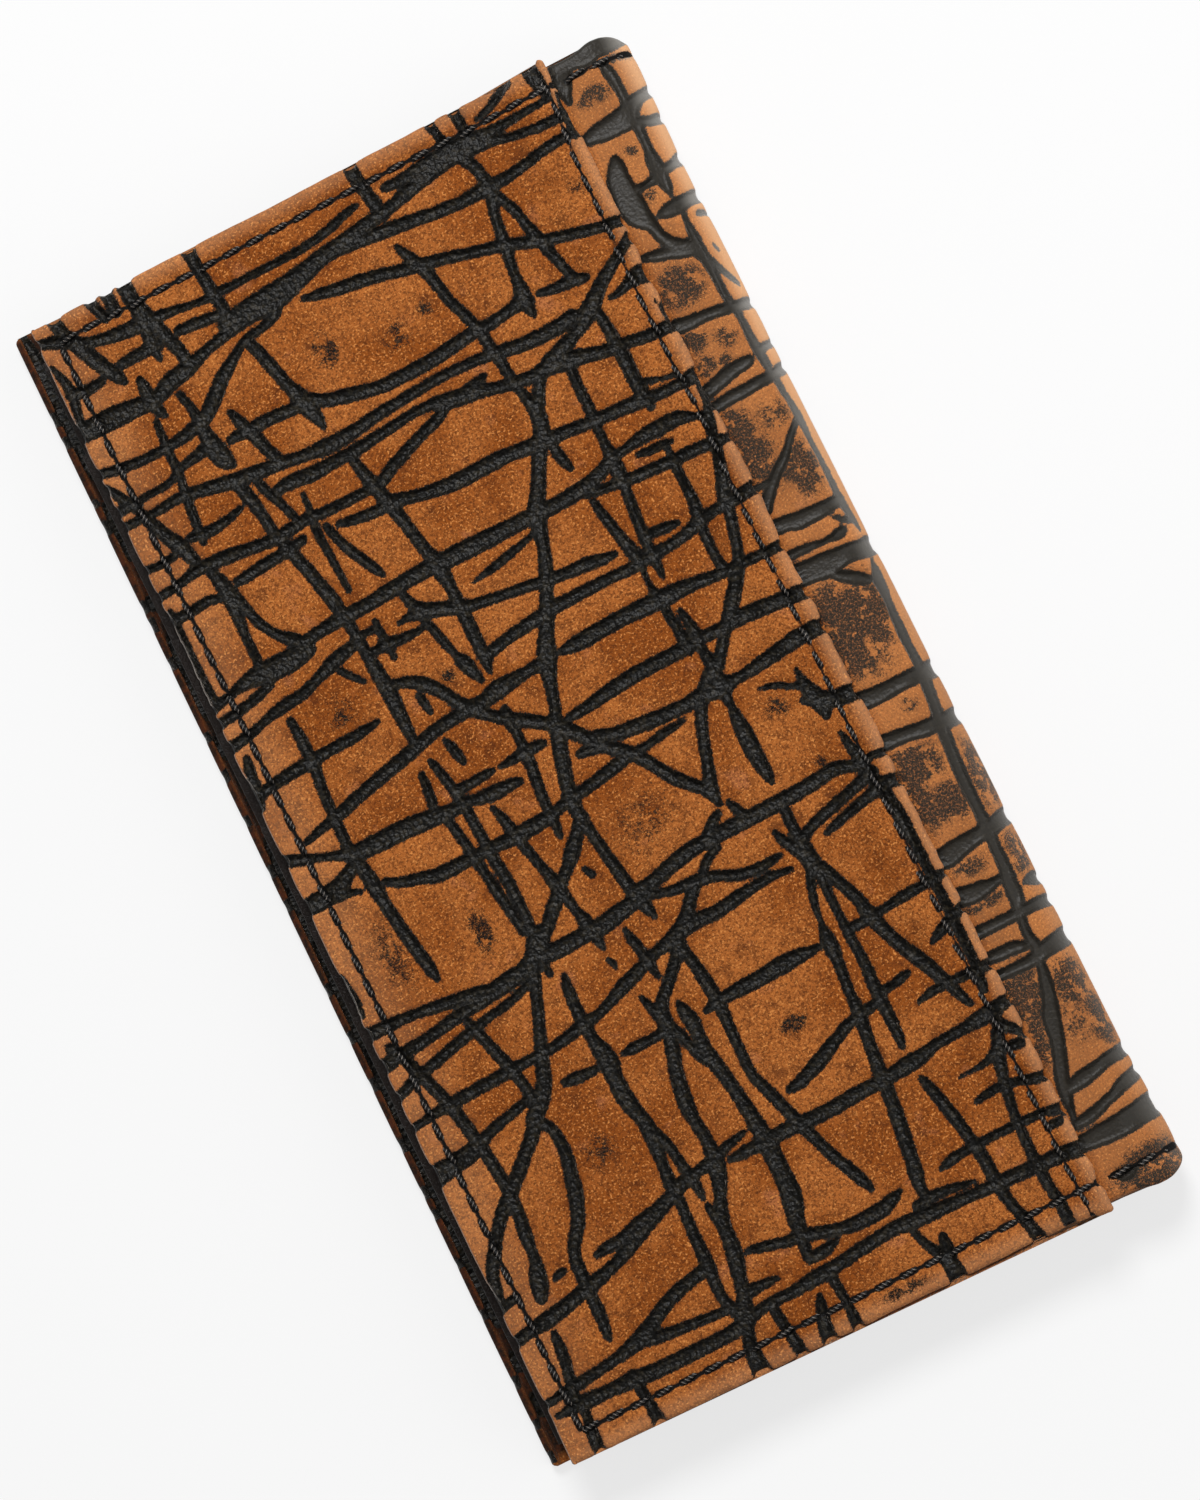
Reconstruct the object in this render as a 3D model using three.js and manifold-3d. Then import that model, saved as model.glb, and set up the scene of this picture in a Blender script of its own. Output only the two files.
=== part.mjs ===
// A long two-fold leather wallet, closed and lying on its back leaf.
// X runs across the leaves with the spine at +X, Y runs along the spine, +Z is up.
// The outer leather is turned in over a board along every free edge. A hemmed pocket panel covers
// the front leaf, and card, bill and window pockets line the inside.
import * as THREE from 'three';
import { mergeVertices } from 'three/addons/utils/BufferGeometryUtils.js';
import Module from 'manifold-3d';

const wasm = await Module();
wasm.setup();

// Driving dimensions, in millimetres
const LEAF_LENGTH = 171.5;
const CLOSED_WIDTH = 95.25;
const FORE_EDGE_STEP = 4.8; // the front leaf stops this far short of the back leaf
const SPINE_RADIUS = 5.5; // outer radius of both creases of the spine

// Sheet thicknesses
const LEATHER = 1.2; // outer leather and outer pocket panel
const SKIVED = 0.6; // outer leather pared thin where it turns in
const BOARD = 0.5;
const LINING = 0.6;
const POCKET_LEATHER = 0.6;
const CLEAR_VINYL = 0.3;
const SHEET_GAP = 0.05; // between one glued or stitched sheet and the next
const LEAF_GAP = 0.8; // between the two leaves when the wallet is closed

// Turned edges and seams
const HEM = 8; // how far the outer leather turns in
const SEAM_INSET = 3.2; // seam line from a leaf's edge
const SEAM_GROOVE = 1.2; // width of the valley that a seam pulls into the leather
const SEAM_DEPTH = 0.5;
const THREAD = 0.6;
const CREASE_LAP = 1.5; // flat leather beside a crease that carries its doubled ends
const CREASE_SPLIT = 0.3; // gap between the rigid halves of a crease
const CREASE_OVERCUT = 0.3; // radians that the inside room runs past a split
const END_ROLL = 0.6; // rounding of the turned head and tail
const ARC_STEPS = 4;

// Outer pocket panel
const MOUTH_SETBACK = 10.4; // hemmed mouth from the outside of the spine
const MOUTH_HEM = 6.5;
const MOUTH_RAMP = 2.2; // slope from the panel up to its hem
const MOUTH_SEAM = 2.7; // hem seam from the mouth
const PANEL_INSET = 0.3; // panel from the head and the tail of the leaf
const EAR_LENGTH = 0.8; // raw hem end standing out past the panel
const EAR_WIDTH = 2.6;

// Inside pockets
const INNER_INSET = 2.6; // inside sheets from the edges of a leaf
const SPINE_CLEARANCE = 0.4; // inside sheets from the lining of the spine
const CARD_POCKETS = 8;
const CARD_POCKET_DEPTH = 50;
const CARD_HEAD_MARGIN = 15; // first card mouth from the edge of the divider
const CARD_TILT_GAP = 0.1; // air between two shingled card pockets
const THUMB_NOTCH = 11; // radius of the notch in a pocket mouth
const BILL_MOUTH_SETBACK = 6; // mouth of the bill pocket from the divider's spine edge
const WINDOW_LENGTH = 79;
const WINDOW_WIDTH = 48;
const WINDOW_BORDER = 7.5;
const WINDOW_LAP = 4; // clear sheet past the edge of its opening
const POCKET_SPACING = 5; // between the window pocket and the slip pocket
const POCKET_CORNER = 2;
const PANEL_ROLL = 0.2; // eased edge of thin leather
const LARGEST_EASE = 0.45; // of a sheet's thickness
const NOTCH_TURN = Math.PI / 4; // half of the arc that a thumb notch takes
const WELD = 1e-4; // points closer than this are one

// Stack of the back leaf, from the table up
const turnedEdge = LEATHER + SHEET_GAP + BOARD + SHEET_GAP + SKIVED;
const boardBottom = LEATHER + SHEET_GAP;
const liningBottom = turnedEdge + SHEET_GAP;
const dividerBottom = liningBottom + LINING + SHEET_GAP;
const cardBottom = dividerBottom + POCKET_LEATHER + SHEET_GAP;

// The card pockets share the length between the head margin and the tail
const halfLength = LEAF_LENGTH / 2;
const innerEnd = halfLength - INNER_INSET;
const firstMouth = innerEnd - CARD_HEAD_MARGIN;
const cardStep = (firstMouth + innerEnd - SHEET_GAP - CARD_POCKET_DEPTH) / (CARD_POCKETS - 1);
const cardTilt = Math.asin((POCKET_LEATHER + CARD_TILT_GAP) / cardStep);
const cardRise = CARD_POCKET_DEPTH * Math.sin(cardTilt) + POCKET_LEATHER * Math.cos(cardTilt);

// Stack of the front leaf, measured down from its cover and mirrored from the back leaf
const billPanelDepth = liningBottom + LINING + SHEET_GAP;
const windowDepth = billPanelDepth + POCKET_LEATHER + SHEET_GAP;
const frameDepth = windowDepth + CLEAR_VINYL + SHEET_GAP;
const frontStack = frameDepth + POCKET_LEATHER;
const coverTop = cardBottom + cardRise + LEAF_GAP + frontStack;

// Places in plan
const spineOut = CLOSED_WIDTH / 2;
const creaseRadius = Math.min(SPINE_RADIUS, coverTop / 2 - SHEET_GAP);
const creaseStart = spineOut - creaseRadius;
const boardSpine = creaseStart - CREASE_LAP - SHEET_GAP;
const backFore = -spineOut;
const frontFore = backFore + FORE_EDGE_STEP;
const mouth = spineOut - MOUTH_SETBACK;
const creaseInside = creaseRadius - LEATHER - SHEET_GAP - LINING;
const dividerDrop = creaseRadius - dividerBottom;
const innerSpine =
  creaseStart + Math.sqrt(Math.max(0, creaseInside ** 2 - dividerDrop ** 2)) - SPINE_CLEARANCE;

const material = (color, roughness) => new THREE.MeshStandardMaterial({ color, roughness, metalness: 0 });
const PRINTED_LEATHER = material(0x91532a, 0.75);
const POCKET_BROWN = material(0x3a2419, 0.5);
const LINING_CLOTH = material(0x241d19, 0.9);
const BOARD_GREY = material(0x8a8177, 0.9);
const THREAD_BLACK = material(0x151312, 0.6);
const CLEAR = material(0xdfe6e8, 0.1);
CLEAR.transparent = true;
CLEAR.opacity = 0.35;

const wallet = new THREE.Group();

function add(name, geometry, look) {
  const mesh = new THREE.Mesh(geometry, look);
  mesh.name = name;
  wallet.add(mesh);
  return mesh;
}

// Closed geometry to a solid for joining and cutting, and back
function solid(geometry) {
  const bare = geometry.clone();
  bare.deleteAttribute('normal');
  bare.deleteAttribute('uv');
  const merged = mergeVertices(bare, WELD);
  return new wasm.Manifold(
    new wasm.Mesh({
      numProp: 3,
      vertProperties: new Float32Array(merged.attributes.position.array),
      triVerts: new Uint32Array(merged.index.array),
    }),
  );
}

function geometryOf(body) {
  const mesh = body.getMesh();
  const geometry = new THREE.BufferGeometry();
  geometry.setAttribute('position', new THREE.BufferAttribute(new Float32Array(mesh.vertProperties), 3));
  geometry.setIndex(new THREE.BufferAttribute(new Uint32Array(mesh.triVerts), 1));
  geometry.computeVertexNormals();
  return geometry;
}

function block(x0, x1, y0, y1, z0, z1) {
  const geometry = new THREE.BoxGeometry(x1 - x0, y1 - y0, z1 - z0);
  return geometry.translate((x0 + x1) / 2, (y0 + y1) / 2, (z0 + z1) / 2);
}

// Points of an arc, the short way round from one angle to another
function arc(x, y, radius, from, to) {
  return new THREE.EllipseCurve(x, y, radius, radius, from, to, to < from).getPoints(ARC_STEPS);
}

function roundedRectangle(x0, x1, y0, y1, radius) {
  const quarter = Math.PI / 2;
  return new THREE.Shape([
    ...arc(x1 - radius, y1 - radius, radius, 0, quarter),
    ...arc(x0 + radius, y1 - radius, radius, quarter, 2 * quarter),
    ...arc(x0 + radius, y0 + radius, radius, 2 * quarter, 3 * quarter),
    ...arc(x1 - radius, y0 + radius, radius, 3 * quarter, 4 * quarter),
  ]);
}

// A flat sheet of any outline with eased edges, from z0 to z1
function sheet(shape, z0, z1, roll = PANEL_ROLL) {
  const ease = Math.min(roll, LARGEST_EASE * (z1 - z0));
  const geometry = new THREE.ExtrudeGeometry(shape, {
    depth: z1 - z0 - 2 * ease,
    bevelThickness: ease,
    bevelSize: ease,
    bevelOffset: -ease,
    bevelSegments: 1,
  });
  return geometry.translate(0, 0, z0 + ease);
}

// A cross-section drawn in X and Z, run along Y between the two ends
function alongSpine(shape, y0, y1, roll = 0) {
  const geometry = new THREE.ExtrudeGeometry(shape, {
    depth: y1 - y0 - 2 * roll,
    bevelEnabled: roll > 0,
    bevelThickness: roll,
    bevelSize: roll,
    bevelOffset: -roll,
    bevelSegments: 2,
  });
  return geometry.rotateX(Math.PI / 2).translate(0, y1 - roll, 0);
}

// Outline of a seam that runs round the head, the fore-edge and the tail of a leaf
function seamStrip(fore, spineEnd, width) {
  const outside = SEAM_INSET - width / 2;
  const inside = SEAM_INSET + width / 2;
  return new THREE.Shape([
    new THREE.Vector2(spineEnd, halfLength - outside),
    new THREE.Vector2(fore + outside, halfLength - outside),
    new THREE.Vector2(fore + outside, outside - halfLength),
    new THREE.Vector2(spineEnd, outside - halfLength),
    new THREE.Vector2(spineEnd, inside - halfLength),
    new THREE.Vector2(fore + inside, inside - halfLength),
    new THREE.Vector2(fore + inside, halfLength - inside),
    new THREE.Vector2(spineEnd, halfLength - inside),
  ]);
}

function seamGroove(fore, spineEnd, z0, z1) {
  const geometry = new THREE.ExtrudeGeometry(seamStrip(fore, spineEnd, SEAM_GROOVE), {
    depth: z1 - z0,
    bevelEnabled: false,
  });
  return solid(geometry.translate(0, 0, z0));
}

const threadHeight = SEAM_DEPTH - 2 * SHEET_GAP;
const seamThread = (fore, spineEnd, z0) =>
  sheet(seamStrip(fore, spineEnd, THREAD), z0, z0 + threadHeight, THREAD / 4);

const splitHalf = Math.asin(CREASE_SPLIT / 2 / creaseRadius);
const leafSplit = -Math.PI / 4 - splitHalf;
const spineSplit = Math.PI / 4 - splitHalf;
const hemInside = halfLength - HEM;
const creaseSkin = creaseRadius - LEATHER;
const creaseDoubled = creaseSkin - SKIVED;
const creaseClear = Math.min(creaseDoubled, creaseRadius - turnedEdge) - SKIVED;
const down = -Math.PI / 2;

// Cross-section of a leaf: edge folded over the board, flat cover, and half of a crease
function leafSection(fore) {
  const fold = turnedEdge / 2;
  return new THREE.Shape([
    ...arc(fore + fold, fold, fold, -down, -3 * down),
    ...arc(creaseStart, creaseRadius, creaseRadius, down, leafSplit),
    ...arc(creaseStart, creaseRadius, creaseDoubled, leafSplit, down),
    new THREE.Vector2(creaseStart - CREASE_LAP, turnedEdge),
  ]);
}

// Cross-section of the room inside the turned edges, where the leather is a single layer
function insideSection(fore) {
  const past = leafSplit + CREASE_OVERCUT;
  return new THREE.Shape([
    new THREE.Vector2(fore + HEM, creaseRadius - creaseSkin),
    ...arc(creaseStart, creaseRadius, creaseSkin, down, past),
    ...arc(creaseStart, creaseRadius, creaseClear, past, down),
    new THREE.Vector2(fore + HEM, creaseRadius - creaseClear),
  ]);
}

// Cross-section of the spine between the split lines of its two creases
function spineSection(outer, inner, split) {
  const upper = coverTop - creaseRadius;
  return new THREE.Shape([
    ...arc(creaseStart, creaseRadius, outer, -split, 0),
    ...arc(creaseStart, upper, outer, 0, split),
    ...arc(creaseStart, upper, inner, split, 0),
    ...arc(creaseStart, creaseRadius, inner, 0, -split),
  ]);
}

// Leaf of outer leather turned in over its board on three sides, running into half of a crease
function turnedLeaf(fore) {
  const boardRoom = block(
    fore + LEATHER, creaseStart - CREASE_LAP, LEATHER - halfLength, halfLength - LEATHER,
    LEATHER, turnedEdge - SKIVED,
  );
  return solid(alongSpine(leafSection(fore), -halfLength, halfLength, END_ROLL))
    .subtract(solid(boardRoom))
    .subtract(solid(alongSpine(insideSection(fore), -hemInside, hemInside)));
}

// The front leaf is the back leaf turned over
const turnOver = (geometry) => geometry.rotateX(Math.PI).translate(0, 0, coverTop);

// Sheet whose edge on the +X side has a shallow round notch for the thumb
function notchedSheet(x0, x1, y0, y1, notch) {
  const middle = (y0 + y1) / 2;
  const radius = notch / Math.sin(NOTCH_TURN);
  const centre = x1 + notch / Math.tan(NOTCH_TURN);
  return new THREE.Shape([
    new THREE.Vector2(x0, y0),
    new THREE.Vector2(x1, y0),
    ...arc(centre, middle, radius, Math.PI + NOTCH_TURN, Math.PI - NOTCH_TURN),
    new THREE.Vector2(x1, y1),
    new THREE.Vector2(x0, y1),
  ]);
}

// Back leaf
function buildBackLeaf() {
  const groove = seamGroove(backFore, creaseStart, -LEATHER, SEAM_DEPTH);
  add('back_cover', geometryOf(turnedLeaf(backFore).subtract(groove)), PRINTED_LEATHER);
  add('back_seam_thread', seamThread(backFore, creaseStart, SHEET_GAP), THREAD_BLACK);
  const boardEdge = halfLength - LEATHER - SHEET_GAP;
  const board = block(
    backFore + LEATHER + SHEET_GAP, boardSpine, -boardEdge, boardEdge, boardBottom, boardBottom + BOARD,
  );
  add('back_board', board, BOARD_GREY);
  const innerFore = backFore + INNER_INSET;
  const lining = roundedRectangle(innerFore, creaseStart, -innerEnd, innerEnd, POCKET_CORNER);
  add('back_lining', sheet(lining, liningBottom, liningBottom + LINING), LINING_CLOTH);
  const divider = notchedSheet(innerFore, innerSpine, -innerEnd, innerEnd, THUMB_NOTCH);
  add('bill_divider', sheet(divider, dividerBottom, dividerBottom + POCKET_LEATHER), POCKET_BROWN);
  for (let i = 0; i < CARD_POCKETS; i += 1) {
    const outline = roundedRectangle(innerFore, innerSpine, -CARD_POCKET_DEPTH, 0, POCKET_CORNER);
    const pocket = add(`card_pocket_${i + 1}`, sheet(outline, 0, POCKET_LEATHER), POCKET_BROWN);
    const foot = firstMouth - i * cardStep - CARD_POCKET_DEPTH;
    pocket.geometry.translate(0, CARD_POCKET_DEPTH, 0);
    pocket.rotation.x = cardTilt;
    pocket.position.set(0, foot + POCKET_LEATHER * Math.sin(cardTilt), cardBottom);
  }
}

// Spine
function buildSpine() {
  const room = spineSection(creaseSkin, creaseClear, spineSplit + CREASE_OVERCUT);
  const doubled = spineSection(creaseRadius, creaseDoubled, spineSplit);
  const cover = solid(alongSpine(doubled, -halfLength, halfLength, END_ROLL))
    .subtract(solid(alongSpine(room, -hemInside, hemInside)));
  add('spine_cover', geometryOf(cover), PRINTED_LEATHER);
  const outer = creaseSkin - SHEET_GAP;
  const liningEnd = hemInside - SHEET_GAP;
  const lining = alongSpine(spineSection(outer, creaseInside, spineSplit), -liningEnd, liningEnd);
  add('spine_lining', lining, LINING_CLOTH);
}

// Pocket panel on the outside of the front leaf, with a doubled hem along its mouth
function buildOuterPocket() {
  const bottom = coverTop + SHEET_GAP;
  const top = bottom + LEATHER;
  const hemTop = top + SKIVED;
  const foldRadius = (hemTop - bottom) / 2;
  const foldCentre = bottom + foldRadius;
  const ease = LEATHER / 3;
  const seamAt = mouth - MOUTH_SEAM;
  const quarter = Math.PI / 2;
  const section = new THREE.Shape([
    ...arc(mouth - foldRadius, foldCentre, foldRadius, -quarter, quarter),
    new THREE.Vector2(seamAt + SEAM_GROOVE / 2, hemTop),
    new THREE.Vector2(seamAt + SEAM_GROOVE / 2, hemTop - SEAM_DEPTH),
    new THREE.Vector2(seamAt - SEAM_GROOVE / 2, hemTop - SEAM_DEPTH),
    new THREE.Vector2(seamAt - SEAM_GROOVE / 2, hemTop),
    new THREE.Vector2(mouth - MOUTH_HEM, hemTop),
    new THREE.Vector2(mouth - MOUTH_HEM - MOUTH_RAMP, top),
    ...arc(frontFore + ease, top - ease, ease, quarter, 2 * quarter),
    ...arc(frontFore + ease, bottom + ease, ease, 2 * quarter, 3 * quarter),
  ]);
  const panelEnd = halfLength - PANEL_INSET;
  const earSection = roundedRectangle(
    mouth - EAR_WIDTH, mouth - foldRadius / 2, bottom + PANEL_ROLL, hemTop - PANEL_ROLL, 2 * PANEL_ROLL,
  );
  const earEnd = panelEnd + EAR_LENGTH;
  const earRoot = panelEnd - SEAM_INSET / 2;
  const seamEnd = mouth - MOUTH_HEM - MOUTH_RAMP;
  const panel = solid(alongSpine(section, -panelEnd, panelEnd, PANEL_ROLL))
    .subtract(seamGroove(frontFore, mouth + LEATHER, top - SEAM_DEPTH, hemTop + LEATHER))
    .add(solid(alongSpine(earSection, earRoot, earEnd, PANEL_ROLL)))
    .add(solid(alongSpine(earSection, -earEnd, -earRoot, PANEL_ROLL)));
  add('outer_pocket_panel', geometryOf(panel), PRINTED_LEATHER);
  add('outer_seam_thread', seamThread(frontFore, seamEnd, top - SEAM_DEPTH + SHEET_GAP), THREAD_BLACK);
  const mouthThread = roundedRectangle(
    seamAt - THREAD / 2, seamAt + THREAD / 2, SEAM_INSET + THREAD - halfLength,
    halfLength - SEAM_INSET - THREAD, THREAD / 3,
  );
  const threadBottom = hemTop - SEAM_DEPTH + SHEET_GAP;
  const mouthStrand = sheet(mouthThread, threadBottom, threadBottom + threadHeight, THREAD / 4);
  add('mouth_seam_thread', mouthStrand, THREAD_BLACK);
}

// Inside of the front leaf: sheets are drawn as if on the back leaf, then turned over
function buildFrontLeaf() {
  add('front_cover', turnOver(geometryOf(turnedLeaf(frontFore))), PRINTED_LEATHER);
  const boardEdge = halfLength - LEATHER - SHEET_GAP;
  const board = block(
    frontFore + LEATHER + SHEET_GAP, boardSpine, -boardEdge, boardEdge, boardBottom, boardBottom + BOARD,
  );
  add('front_board', turnOver(board), BOARD_GREY);
  const innerFore = frontFore + INNER_INSET;
  const lining = roundedRectangle(innerFore, creaseStart, -innerEnd, innerEnd, POCKET_CORNER);
  add('front_lining', turnOver(sheet(lining, liningBottom, liningBottom + LINING)), LINING_CLOTH);
  const billMouth = innerSpine - BILL_MOUTH_SETBACK;
  const bill = notchedSheet(innerFore, billMouth, -innerEnd, innerEnd, THUMB_NOTCH);
  const billSheet = sheet(bill, billPanelDepth, billPanelDepth + POCKET_LEATHER);
  add('bill_pocket_panel', turnOver(billSheet), POCKET_BROWN);

  const frameEnd = innerEnd - WINDOW_LENGTH - 2 * WINDOW_BORDER;
  const frameSide = innerFore + WINDOW_WIDTH + 2 * WINDOW_BORDER;
  const frame = roundedRectangle(innerFore, frameSide, -innerEnd, -frameEnd, POCKET_CORNER);
  const opening = [
    innerFore + WINDOW_BORDER, frameSide - WINDOW_BORDER, WINDOW_BORDER - innerEnd, -frameEnd - WINDOW_BORDER,
  ];
  frame.holes.push(roundedRectangle(...opening, POCKET_CORNER));
  add('window_frame', turnOver(sheet(frame, frameDepth, frameDepth + POCKET_LEATHER)), POCKET_BROWN);
  const clear = roundedRectangle(
    opening[0] - WINDOW_LAP, opening[1] + WINDOW_LAP, opening[2] - WINDOW_LAP, opening[3] + WINDOW_LAP,
    POCKET_CORNER,
  );
  add('clear_window', turnOver(sheet(clear, windowDepth, windowDepth + CLEAR_VINYL)), CLEAR);
  const slip = notchedSheet(innerFore, frameSide, POCKET_SPACING - frameEnd, innerEnd, THUMB_NOTCH);
  add('slip_pocket', turnOver(sheet(slip, windowDepth, windowDepth + POCKET_LEATHER)), POCKET_BROWN);
}

buildBackLeaf();
buildSpine();
buildFrontLeaf();
buildOuterPocket();

export default wallet;
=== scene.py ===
import math

import bpy
import numpy as np
from mathutils import Matrix, Vector


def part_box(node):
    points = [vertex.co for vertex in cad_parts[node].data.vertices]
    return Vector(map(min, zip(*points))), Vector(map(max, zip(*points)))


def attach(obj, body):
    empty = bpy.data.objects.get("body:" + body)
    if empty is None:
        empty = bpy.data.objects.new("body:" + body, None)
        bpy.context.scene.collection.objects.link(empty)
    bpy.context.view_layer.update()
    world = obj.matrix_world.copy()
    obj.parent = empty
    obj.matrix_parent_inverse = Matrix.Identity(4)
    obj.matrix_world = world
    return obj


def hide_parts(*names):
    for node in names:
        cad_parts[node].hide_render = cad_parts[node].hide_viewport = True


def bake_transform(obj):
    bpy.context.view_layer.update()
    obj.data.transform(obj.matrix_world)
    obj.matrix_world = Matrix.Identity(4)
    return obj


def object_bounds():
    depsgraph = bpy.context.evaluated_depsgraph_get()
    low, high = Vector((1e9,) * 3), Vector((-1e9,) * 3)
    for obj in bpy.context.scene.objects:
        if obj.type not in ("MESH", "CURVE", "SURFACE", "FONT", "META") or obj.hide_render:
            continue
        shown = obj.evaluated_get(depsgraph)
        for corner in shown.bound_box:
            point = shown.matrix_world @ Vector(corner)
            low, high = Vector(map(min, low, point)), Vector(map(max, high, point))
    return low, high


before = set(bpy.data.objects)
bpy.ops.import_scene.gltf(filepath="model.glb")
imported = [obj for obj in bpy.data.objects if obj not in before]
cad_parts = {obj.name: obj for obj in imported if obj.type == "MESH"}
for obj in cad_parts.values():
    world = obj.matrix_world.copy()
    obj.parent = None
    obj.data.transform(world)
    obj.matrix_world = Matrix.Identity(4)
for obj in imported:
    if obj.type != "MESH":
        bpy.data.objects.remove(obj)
cad_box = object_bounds()

# A long bifold leather wallet, closed, lying on its back leaf with the spine at +X.
# Lengths are in millimetres, and are turned into metres where a mesh or a frame call is made.
MM = 0.001

# The hide. Its length runs along x on the flat, then round the arc of a crease, then up the spine.
CREASE_X = 42.125  # where the flat leaf ends
CREASE_R = 5.5
ARC = CREASE_R * math.pi / 2
LEATHER = 1.2
TURNED = 2.4  # doubled leather of a turned edge
HEM = 8.0  # how far an edge turns in
HIDE_STEP = 0.36
HIDE_ROW = 0.45
EDGE_ROLL = 0.8
HIDE_SHORT = 0.35  # under the panel and on the spine the hide ends this much sooner
HIDE_SHORT_FROM = (36, 39)
SPINE_CROWN = 0.7  # extra length of the hide where it starts to bend
SPINE_CROWN_FROM = (40, 44.5)
SPINE_TUCK = 1.5  # and how much shorter it is at the middle of the spine
SPINE_TUCK_FROM = (45.5, 52)
SPINE_FLARE = 0.55  # the spine opens a little at head and tail
SPINE_FLARE_Y = (64, 83)
HEAD_REACH = 2.6  # the back leaf's head corner stands out this far
HEAD_REACH_FROM = 24
BEND_OUT = (44, 49.5)  # part of a crease that turns outward
NET_FADE = 1.7  # the net of the back thins out there
SHALLOW_PRINT = (45, 49.5)
# Where the spine's rim gets a painted highlight
SPINE_HIGHLIGHT = (45, 49)
STRIP_DEPTH = 0.55  # furrows on a hem, as a share of those outside
FORE_FOLD = (0.9, 1.6)  # from the fore-edge, where the turned edge runs flat
FAR = 9.0  # from any seam
INSIDE = 40.0  # keeps the grain of the inner face apart from the outer one
HIDE_PRINT_END = 85.4  # past this the furrows run straight over the edge

# The outer pocket panel
PANEL_EDGE = -42.825
MOUTH = 37.225
PANEL_STEP = 0.42
PANEL_PROUD = 0.15  # past the leaf at head and tail
PANEL_SAG = ((0.28, 0.07), (0.12, 0.3))  # height and scale of the waves in those edges
PANEL_SWAY = ((8, 0.2, 0.09), (18, 0.14, 0.5))  # seed, height and scale of the waves in its mouth
MOUTH_EAR = 0.5  # raw end of the mouth's hem
TOP_ROLL = 0.95
MOUTH_ROLL = 0.5
RAW_ROLL = 0.4
UNDER_ROLL = 0.06
HEM_SLOPE = (28.4, 31.2)  # where the panel rises to the doubled hem of its mouth
PANEL_PRINT_END = 85.3
NOTCH_Y = 84.6  # furrows nick the head and tail edge here
NOTCH = 0.4

# Furrows
FURROW_DEPTH = 0.62
FURROW_WALL = (-0.6, 0.36)
PILLOW = 0.1  # the plateaus between them are slightly round
PILLOW_REACH = (0.2, 2.2)
RAGGED = 0.18
RAGGED_SCALE = 1.1
SPINE_RIM = 48.6  # strokes that get this far carry on round the spine
SPINE_RUN = 7.0

# Seams
SEAM_X = -39.8
SEAM_Y = 82.3
SEAM_END = 36.6
SEAM_INSET = 3.2
MOUTH_SEAM_END = 84.6
SPINE_SEAM_Y = 82.5
SPINE_SEAM_START = MOUTH + 1.2
BACK_SEAM_END = 38.0
SEAM_PULL = ((0.3, 0.55), (0.17, 1.6))  # depth and reach of the valley round a seam
SEAM_SLACK = 0.3
SEAM_AWAY = 5.0
STITCH = 3.6
SHOWN_STITCH = 0.78  # share of a stitch that lies on top
THREAD = 0.27
THREAD_SUNK = 0.36
STITCH_BITE = 0.5
STITCH_LEAN = 0.56
PLY_TURNS = 2.3
PLY_DEPTH = 0.22

# Lining and pockets
LINING = 0.5
LINING_Z = 2.45
LINING_R = 4.22
LINING_END = 83.1
LINING_TAPER = 5.5
LINING_BEND = 38.5  # where the cloth starts to leave the board for the crease
POCKET = 0.52
VINYL = 0.26
CARD_POCKETS = 8
CARD_TILT = 2.77  # degrees
THUMB_NOTCH = 11.0
WINDOW_BORDER = 7.5
WINDOW_CORNER = 2.0
PLATE_GAP = 0.03  # a sheet stays this far inside its CAD sheet
EDGE_SHADE = (0.2, 1.4)
SIDES_APART = 8.0  # keeps the grain of a sheet's two faces apart

# Camera and light: metres, watts, shares of white
CAMERA_PLACE = (0.05457, -0.05392, 0.54642)
CAMERA_LOOK = (-0.09649, 0.09716, -0.99058)
CAMERA_UP = (0.44583, 0.89402, 0.04427)
CAMERA_LENS = 96.0
CAMERA_SENSOR = 36.0
KEY = {"place": (0.161, 0.478, 0.8), "size": 0.32, "power": 7.8}
FILL = {"place": (0.8, -0.35, 0.6), "size": 0.9, "power": 3.2}
FLOOR_HALF = 9.0
FLOOR_DROP = 0.0002
FLOOR_GREY = 0.9
FLOOR_GLOW = 0.76
TABLE_WHITE = 0.94
WORLD_LIGHT = 0.27

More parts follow.
